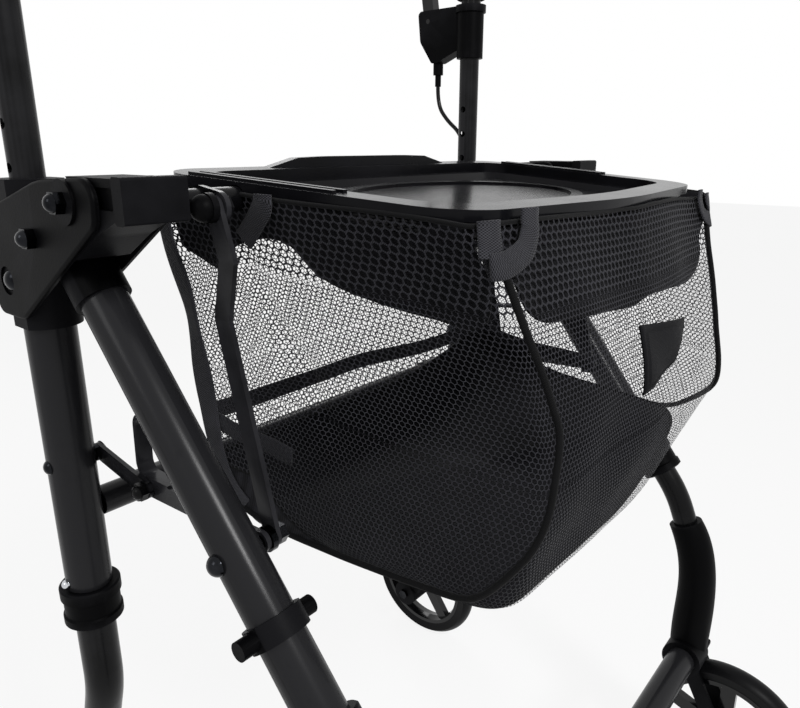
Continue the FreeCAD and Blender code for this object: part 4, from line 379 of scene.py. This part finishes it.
# Knitted polyester net, with wide cells in a band at the rim and finer ones below. It is
# one layer that lets the cloth behind it and the room show through.
BAND_SHARE = 0.2        # how far down the wide cells reach
MIDDLE_SHARE = 0.6      # where one piece of the fine net ends and the next starts


def woven(name, dark, light, thread_mm, relief, sheen, bias_deg=0.0):
    """Cloth, webbing or yarn: a weave with threads thread_mm apart both ways on the piece's own UV.

    The weave is the product of two sines and runs from the dark colour to the light one. A
    noise 25 mm across shifts it, and takes roughness 0.1 either side of 0.75.
    """
    material, tree, shader = new_finish(name)
    spot = node(tree, "Mapping", {"Vector": node(tree, "TexCoord").outputs["UV"],
                                  "Rotation": (0.0, 0.0, math.radians(bias_deg))})
    split = node(tree, "SeparateXYZ", {"Vector": spot.outputs["Vector"]})
    waves = []
    for axis, spacing in zip("XY", thread_mm):
        turn = node(tree, "Math", {0: split.outputs[axis], 1: math.pi * 2 / (spacing * MM)}, operation="MULTIPLY")
        waves.append(node(tree, "Math", {0: turn.outputs[0]}, operation="SINE").outputs[0])
    crossed = node(tree, "Math", {0: waves[0], 1: waves[1]}, operation="MULTIPLY")
    weave = node(tree, "MapRange", {"Value": crossed.outputs[0], "From Min": -1.0}).outputs["Result"]
    fuzz = node(tree, "TexNoise", {"Vector": node(tree, "TexCoord").outputs["Object"], "Scale": 1 / (25 * MM),
                                   "Detail": 6.0})
    shift = node(tree, "MapRange", {"Value": fuzz.outputs["Fac"], "To Min": -0.3, "To Max": 0.3})
    mixed = node(tree, "Math", {0: weave, 1: shift.outputs["Result"]}, operation="ADD")
    share = node(tree, "MapRange", {"Value": mixed.outputs[0], "From Min": 0.15, "From Max": 0.9})
    colour = node(tree, "Mix", {"Factor": share.outputs["Result"], "A": linear(dark), "B": linear(light)},
                  data_type="RGBA")
    roughness = node(tree, "MapRange", {"Value": fuzz.outputs["Fac"], "To Min": 0.65, "To Max": 0.85})
    raised = node(tree, "Bump", {"Height": weave, "Strength": relief, "Distance": 0.4 * MM})
    tree.links.new(colour.outputs["Result"], shader.inputs["Base Color"])
    tree.links.new(roughness.outputs["Result"], shader.inputs["Roughness"])
    tree.links.new(raised.outputs["Normal"], shader.inputs["Normal"])
    shader.inputs["Specular IOR Level"].default_value = 0.08
    shader.inputs["Sheen Weight"].default_value = sheen
    shader.inputs["Sheen Roughness"].default_value = 0.4
    return material


def sewn_piece(name, points, faces, uv, material):
    """A piece of the basket from arrays of points, faces and one UV for each point."""
    data = bpy.data.meshes.new(name)
    data.from_pydata(points.tolist(), [], faces)
    data.polygons.foreach_set("use_smooth", np.ones(len(data.polygons), bool))
    corners = np.zeros(len(data.loops), dtype=np.int32)
    data.loops.foreach_get("vertex_index", corners)
    data.uv_layers.new(name="UVMap").data.foreach_set("uv", uv[corners].ravel())
    data.materials.append(material)
    piece = bpy.data.objects.new(name, data)
    bpy.context.scene.collection.objects.link(piece)
    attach(piece, "front_frame")
    return piece


# Matt black yarn with its weave, drawn greyer than the paint: the grey is painted sheen, for the light its loops catch
# all round.
YARN_WITH_PAINTED_SHEEN = woven("net_yarn_painted_sheen", "151518", "38383d", thread_mm=(1.11, 1.11), relief=0.2, sheen=0.1)


def net(name, v_low, v_high, cols, rows, hole_share):
    """Net between two levels of the bag: staggered hexagons, each a ring of six flat strands.

    Cell (i, j) stands at u = (i + half of odd j) / cols. Its six corners reach halfway to the
    next cell and two thirds of a row up and down, and the hole's corners are those times
    hole_share.
    """
    j, i = np.mgrid[0:rows, 0:cols]
    row_height = (v_high - v_low) / rows
    hexagon = np.array([(0, -2 / 3), (0.5, -1 / 3), (0.5, 1 / 3), (0, 2 / 3), (-0.5, 1 / 3), (-0.5, -1 / 3)])
    ring = np.concatenate([hexagon, hexagon * hole_share])
    u = ((i + 0.5 * (j % 2)) / cols)[..., None] + ring[:, 0] / cols
    v = np.clip((v_low + (j + 0.5) * row_height)[..., None] + ring[:, 1] * row_height, v_low, v_high)
    corner = np.arange(6)
    strands = np.stack([6 + corner, 6 + (corner + 1) % 6, (corner + 1) % 6, corner], axis=1)
    faces = (np.arange(rows * cols)[:, None, None] * 12 + strands).reshape(-1, 4)
    uv = np.stack([u.ravel(), v.ravel() * 0.2], axis=1)
    return sewn_piece(name, on_bag(u, v).reshape(-1, 3), faces.tolist(), uv, YARN_WITH_PAINTED_SHEEN)


basket_net = net("basket_net", BAND_SHARE, MIDDLE_SHARE, 340, 31, hole_share=0.8)
net("basket_low_net", MIDDLE_SHARE, 1.0, 340, 31, hole_share=0.8)
net("basket_band_net", 0.0, BAND_SHARE, 224, 11, hole_share=0.77)
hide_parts("basket")


# ---------------------------------------------------------------- basket: base cloth

# The base is one panel of coated polyester, cut on the bias and sewn to the net all round.
# It lies on the bag's last level and climbs the rear wall.
BASE_SHARE = 0.996
BASE_CLIMB = 0.14


def base_edge(u):
    """Share down the bag where the base cloth ends: its last level, less a smooth step at the rear."""
    rear = np.clip(np.maximum((0.082 - u) / 0.05, (u - 0.588) / 0.05), 0, 1)
    return BASE_SHARE - BASE_CLIMB * rear * rear * (3 - 2 * rear)


def grid_faces(rows, cols, wrap=False):
    """Quads of a grid of points, row by row; wrap joins the last column to the first."""
    i, j = np.mgrid[0:rows - 1, 0:cols if wrap else cols - 1]
    k = (j + 1) % cols
    return np.stack([i * cols + j, i * cols + k, (i + 1) * cols + k, (i + 1) * cols + j], axis=-1).reshape(-1, 4)


def base_rings():
    """Rings of points from the cloth's edge down the wall, then shrinking evenly to its middle.

    The floor part sags by 2.5 mm times the sine of a quarter turn from edge to middle.
    """
    u = np.arange(0, U_STEPS, 4) / U_STEPS
    fall = np.linspace(0, 1, 8)[:, None]
    walls = on_bag(np.broadcast_to(u, (8, len(u))), base_edge(u) + (BASE_SHARE - base_edge(u)) * fall, -1.0)
    middle = walls[-1].mean(axis=0)
    inwards = np.arange(1, 17)[:, None, None] / 16
    floor_part = middle + (walls[-1] - middle) * (1 - inwards)
    floor_part[:, :, 2] -= 2.5 * MM * np.sin(math.pi / 2 * inwards[:, :, 0])
    return np.concatenate([walls, floor_part])


# Coated cloth, dull and nearly black. Its weave is drawn 2.4 mm apart, several times
# coarser than the real one, so that it shows.
BASE_CLOTH = woven("base_cloth", "0b0b0d", "222226", thread_mm=(2.38, 2.38), relief=0.7, sheen=0.06, bias_deg=45.0)
rings = base_rings()
base_points = rings.reshape(-1, 3)
base_panel = sewn_piece("basket_base", base_points, grid_faces(*rings.shape[:2], wrap=True).tolist(),
                        base_points[:, :2], BASE_CLOTH)
base_panel.modifiers.new("cloth", "SOLIDIFY").thickness = 1.4 * MM


# ---------------------------------------------------------------- basket: hems, piping and webbing

# Nylon tape binds the net's rim and its base, piping outlines each side panel, and
# polypropylene webbing is sewn down each rear corner and round the rear as a belt.
# Narrow tape is deep black, and webbing greyer, with ribs drawn about 1.3 mm apart.
BINDING_TAPE = woven("binding_tape", "050506", "141415", thread_mm=(1.43, 0.91), relief=0.6, sheen=0.04)
WEBBING = woven("webbing", "121214", "414146", thread_mm=(2.38, 1.28), relief=0.9, sheen=0.1)


def flat_strap(width, thick):
    """Outline of a strap with rounded edges and a slightly raised middle; its back lies on the bag."""
    half, full = width / 2 * MM, thick * MM
    return np.array([(half, 0), (half + full / 4, full / 2), (half, full), (half / 2, full * 1.1), (0, full * 1.125),
                     (-half / 2, full * 1.1), (-half, full), (-half - full / 4, full / 2), (-half, 0)])


def round_cord(radius):
    """Outline of a cord: ten points evenly round a circle."""
    turn = np.arange(10) * 2 * math.pi / 10
    return np.stack([np.cos(turn), np.sin(turn)], axis=1) * radius * MM


def sweep(name, centre, outward, outline, material, closed=False):
    """Carries an outline along a line of points.

    At each point the outline's second axis is the outward direction less its part along the
    line, and its first axis is square to both. A closed line joins end to start, and an open
    one gets a flat face at each end.
    """
    ahead = np.roll(centre, -1, axis=0) - np.roll(centre, 1, axis=0) if closed else np.gradient(centre, axis=0)
    ahead = unit(ahead)
    out = unit(outward - ahead * np.sum(outward * ahead, axis=1, keepdims=True))
    side = np.cross(ahead, out)
    count, corners = len(centre), len(outline)
    points = centre[:, None] + side[:, None] * outline[:, :1] + out[:, None] * outline[:, 1:]
    run = np.concatenate([[0], np.cumsum(np.linalg.norm(np.diff(centre, axis=0), axis=1))])
    around = np.concatenate([[0], np.cumsum(np.linalg.norm(np.diff(outline, axis=0), axis=1))])
    uv = np.stack(np.broadcast_arrays(around[None, :], run[:, None]), axis=-1).reshape(-1, 2)
    faces = grid_faces(count + closed, corners, wrap=True)[:, ::-1] % (count * corners)
    last = (count - 1) * corners
    ends = [] if closed else [[*range(corners)], [*reversed(range(last, last + corners))]]
    return sewn_piece(name, points.reshape(-1, 3), faces.tolist() + ends, uv, material)


def round_the_bag(name, v, radius, lift_mm):
    """Cord right round the bag at share v."""
    u = np.linspace(0, 1, 500, endpoint=False)
    v = np.broadcast_to(v, u.shape) if np.isscalar(v) else v(u)
    sweep(name, on_bag(u, v, lift_mm), read_table(bag_out, u, v), round_cord(radius), BINDING_TAPE, closed=True)


def along_the_bag(name, spots, outline, material, lift_mm, count):
    """Strap, tape or piping laid on the bag through (u, v) shares."""
    u, v = resample(spots, count).T
    sweep(name, on_bag(u, v, lift_mm), read_table(bag_out, u, v), outline, material)


def both_sides(make, name, spots, *rest):
    """Makes a piece on the right from (u, v) shares, and its mirror on the left."""
    make(name + "_right", spots, *rest)
    make(name + "_left", [(MIRROR_SHARE - u, v) for u, v in spots], *rest)


round_the_bag("basket_hem", 0.0, 1.3, -0.6)
round_the_bag("basket_base_hem", base_edge, 1.2, -0.8)

# Along the side panel's foot, round the front corner and up to the rim.
PIPING = [(0.012, 0.93), (0.03, 0.975), (0.055, 0.99), (0.1, 0.994), (0.14, 0.985), (0.165, 0.955), (0.178, 0.91),
          (0.187, 0.85), (0.194, 0.775), (0.201, 0.667), (0.204, 0.56), (0.209, 0.46), (0.208, 0.4), (0.207, 0.35),
          (0.205, 0.292), (0.203, 0.225), (0.203, 0.158), (0.204, 0.1), (0.2045, 0.03)]
both_sides(along_the_bag, "side_piping", PIPING, round_cord(2.1), BINDING_TAPE, 0.8, 260)

REAR_CORNER = [(0.006, 0.0), (0.004, 0.1), (0.003, 0.167), (0.003, 0.325), (0.006, 0.475), (0.008, 0.65),
               (0.011, 0.775), (0.013, 0.87), (0.02, 0.94)]
both_sides(along_the_bag, "rear_binding", REAR_CORNER, flat_strap(17.0, 1.2), WEBBING, 0.2, 90)

# The belt starts on the right wall, crosses the rear and ends on the left wall. A share
# below 0 counts back from the rear right corner.
BELT = [(0.06667, 0.75833), (0.03472, 0.75), (0.0125, 0.74167), (-0.05278, 0.75), (-0.16528, 0.75),
        (-0.27917, 0.81667), (-0.34444, 0.85), (-0.37222, 0.85833), (-0.41389, 0.84167), (-0.44167, 0.825)]
along_the_bag("basket_belt", BELT, flat_strap(12.0, 1.3), WEBBING, -1.8, 200)


# ---------------------------------------------------------------- basket: cloth flaps

# Black polyester lining, sewn in under the rim and hanging 5 mm behind the net: one flap on
# each side and one across the front. It is dull, and its weave is drawn 2 mm apart, coarser
# than the real one, so that it shows.
LINING = woven("lining_cloth", "060608", "131316", thread_mm=(2.0, 2.0), relief=0.5, sheen=0.04, bias_deg=45.0)
FLAP_INSET = 5.0
FLAP_TOP_SHARE = 0.01


def flap(name, spots):
    """Cloth in even rows from the rim down to an edge through (u, v) shares.

    A sine of u moves it in and out, by nothing at the rim and by 1.4 mm at the edge.
    """
    rows, cols = 14, 70
    edge_u, edge_v = resample(spots, cols).T
    fall = np.linspace(0, 1, rows)[:, None]
    v = FLAP_TOP_SHARE + (edge_v - FLAP_TOP_SHARE) * fall
    u = np.broadcast_to(edge_u, v.shape)
    points = on_bag(u, v, -(1.4 * np.sin(u * 90) * fall + FLAP_INSET))
    uv = np.stack(np.broadcast_arrays(np.linspace(0, 0.2, cols), fall * 0.06), axis=-1).reshape(-1, 2)
    piece = sewn_piece(name, points.reshape(-1, 3), grid_faces(rows, cols).tolist(), uv, LINING)
    piece.modifiers.new("cloth", "SOLIDIFY").thickness = 1.2 * MM


SIDE_FLAP = [(0.008, 0.19), (0.014, 0.21), (0.022, 0.225), (0.031, 0.233), (0.042, 0.2), (0.05, 0.158), (0.067, 0.125),
             (0.076, 0.115), (0.085, 0.117), (0.09, 0.13), (0.094, 0.155), (0.099, 0.185), (0.108, 0.205),
             (0.125, 0.225), (0.142, 0.24), (0.157, 0.243), (0.169, 0.247), (0.176, 0.243), (0.183, 0.215),
             (0.189, 0.167), (0.193, 0.13), (0.197, 0.09)]
FRONT_FLAP = [(0.2135, 0.07), (0.214, 0.11), (0.2145, 0.15), (0.217, 0.19), (0.229, 0.225), (0.253, 0.235),
              (0.282, 0.245), (0.315, 0.255), (0.336, 0.238), (0.365, 0.25), (0.417, 0.262), (0.445, 0.24),
              (0.457, 0.19), (0.458, 0.12), (0.458, 0.07)]
both_sides(flap, "side_flap", SIDE_FLAP)
flap("front_flap", FRONT_FLAP)


# ---------------------------------------------------------------- basket: hanging loops

# Loops of webbing hang the bag from the rim: a straight and a bent one at each front
# corner, and a leaning one on each side. Each starts at the rim, just above the bag.
DROP_STEPS = 12


def hanging_loop(name, spots, width, rise_mm, lift_mm):
    """Webbing that drops rise_mm on to the bag and follows it through (u, v) shares.

    Its face turns only a third as much as the bag below it, because webbing is stiff.
    """
    u, v = resample(spots, 60).T
    line = on_bag(u, v, lift_mm)
    outward = read_table(bag_out, u, v)
    outward = 0.35 * outward + 0.65 * outward.mean(axis=0)
    drop = line[0] + np.linspace(rise_mm, rise_mm / DROP_STEPS, DROP_STEPS)[:, None] * np.array([0.0, 0.0, MM])
    outward = np.vstack([np.repeat(outward[:1], DROP_STEPS, axis=0), outward])
    sweep(name, np.vstack([drop, line]), outward, flat_strap(width, 1.5), WEBBING)


CORNER_LOOP = [(0.206, 0.0), (0.2045, 0.02), (0.2025, 0.045), (0.1995, 0.072)]
CORNER_TIE = [(0.2305, 0.0), (0.2295, 0.02), (0.2265, 0.042), (0.2215, 0.064), (0.213, 0.08), (0.204, 0.089),
              (0.197, 0.088)]
SIDE_LOOP = [(0.088, 0.0), (0.085, 0.025), (0.076, 0.067), (0.063, 0.12)]
both_sides(hanging_loop, "corner_loop", CORNER_LOOP, 14.0, 2.0, 1.4)
both_sides(hanging_loop, "corner_tie", CORNER_TIE, 12.5, 6.0, 2.2)
both_sides(hanging_loop, "side_loop", SIDE_LOOP, 13.0, 3.0, 1.4)


# ---------------------------------------------------------------- basket: front patch

# A small four-cornered patch of the same lining, sewn on the front of the net with its edge
# folded under.
PATCH_CORNERS = np.array([(0.303, 0.492), (0.346, 0.445), (0.386, 0.35), (0.311, 0.306)])
PATCH_ROWS, PATCH_COLS = 30, 40

# Each point is a blend of the corners by its shares across and up. The fold thickens the
# patch at its edge, the seam pulls it in just inside, and a sine makes its middle wave.
across, up = np.meshgrid(np.linspace(0, 1, PATCH_COLS), np.linspace(0, 1, PATCH_ROWS))
blend = np.stack([(1 - across) * (1 - up), across * (1 - up), across * up, (1 - across) * up])
patch_u, patch_v = np.einsum("cij,cx->xij", blend, PATCH_CORNERS)
from_edge = np.minimum(np.minimum(across, 1 - across) * 2.2, np.minimum(up, 1 - up) * 1.6)
rise = 1.0 + 1.2 * np.clip(from_edge / 0.08, 0, 1) - 0.7 * np.exp(-((from_edge - 0.16) / 0.03) ** 2)
rise = rise + 1.3 * np.sin(across * 7.0 + up * 3.0)
patch_uv = np.stack([across * 0.09, up * 0.06], axis=-1).reshape(-1, 2)
patch = sewn_piece("front_patch", on_bag(patch_u, patch_v, rise).reshape(-1, 3),
                   grid_faces(PATCH_ROWS, PATCH_COLS).tolist(), patch_uv, LINING)
patch.modifiers.new("cloth", "SOLIDIFY").thickness = 1.1 * MM


# ---------------------------------------------------------------- floor, backdrop and light

# A plain pale studio: the floor and the room are white to the camera and in reflections,
# while the object itself is lit by the room at 0.4 and three soft lamps.
FLOOR_GLOW = 0.86       # share of the floor's look that is plain white; the rest takes the shadow
ROOM_LIGHT = 0.4
FLOOR_HALF = 9          # metres


def seen_directly(tree):
    """1 for rays from the camera and for mirror-like and clear bounces, 0 for the rest."""
    path = node(tree, "LightPath")
    seen = node(tree, "Math", {0: path.outputs["Is Camera Ray"], 1: path.outputs["Is Glossy Ray"]}, operation="MAXIMUM")
    seen = node(tree, "Math", {0: seen.outputs[0], 1: path.outputs["Is Transmission Ray"]}, operation="MAXIMUM")
    return seen.outputs[0]


# Painted board, matt and almost white. Clouds 0.7 m across are so faint that they only make
# it look less flat.
material, tree, shader = new_finish("pale_floor")
clouds = node(tree, "TexNoise", {"Vector": node(tree, "TexCoord").outputs["Object"], "Scale": 1.5, "Detail": 3.0})
share = node(tree, "MapRange", {"Value": clouds.outputs["Fac"], "From Min": 0.3, "From Max": 0.7})
colour = node(tree, "Mix", {"Factor": share.outputs["Result"], "A": linear("f6f6f6"), "B": linear("fafafa")},
              data_type="RGBA")
tree.links.new(colour.outputs["Result"], shader.inputs["Base Color"])
shader.inputs["Roughness"].default_value = 0.9
glow = node(tree, "Emission", {"Color": linear("ffffff"), "Strength": 1.0})
share = node(tree, "Math", {0: seen_directly(tree), 1: FLOOR_GLOW}, operation="MULTIPLY")
mixed = node(tree, "MixShader", {0: share.outputs[0], 1: shader.outputs["BSDF"], 2: glow.outputs["Emission"]})
tree.links.new(mixed.outputs["Shader"], tree.nodes["Material Output"].inputs["Surface"])

data = bpy.data.meshes.new("floor")
data.from_pydata([(-FLOOR_HALF, -FLOOR_HALF, 0), (FLOOR_HALF, -FLOOR_HALF, 0), (FLOOR_HALF, FLOOR_HALF, 0),
                  (-FLOOR_HALF, FLOOR_HALF, 0)], [], [(0, 1, 2, 3)])
data.materials.append(material)
floor = bpy.data.objects.new("floor", data)
bpy.context.scene.collection.objects.link(floor)

world = bpy.data.worlds.new("studio")
world.use_nodes = True
room = world.node_tree.nodes["Background"]
room.inputs["Color"].default_value = linear("ffffff")
strength = node(world.node_tree, "MapRange", {"Value": seen_directly(world.node_tree), "To Min": ROOM_LIGHT})
world.node_tree.links.new(strength.outputs["Result"], room.inputs["Strength"])
bpy.context.scene.world = world


def soft_light(name, place_at, target, size, power):
    """Square lamp of this size and power, in metres and watts, facing the target."""
    data = bpy.data.lights.new(name, "AREA")
    data.energy = power
    data.size = size
    lamp = bpy.data.objects.new(name, data)
    lamp.location = place_at
    x, y, z = np.subtract(target, place_at)
    lamp.rotation_euler = (math.acos(-z / math.hypot(x, y, z)), 0.0, math.atan2(-x, y))
    lamp.visible_camera = False
    bpy.context.scene.collection.objects.link(lamp)


soft_light("key", (-0.35, -1.15, 1.5), (0.0, 0.0, 0.55), size=0.3, power=15.0)
soft_light("fill", (-1.4, 0.1, 1.3), (0.0, 0.0, 0.5), size=0.5, power=3.0)
soft_light("rim", (1.0, 1.3, 1.6), (0.0, 0.0, 0.6), size=0.6, power=5.0)
bpy.context.scene.view_settings.view_transform = "Standard"
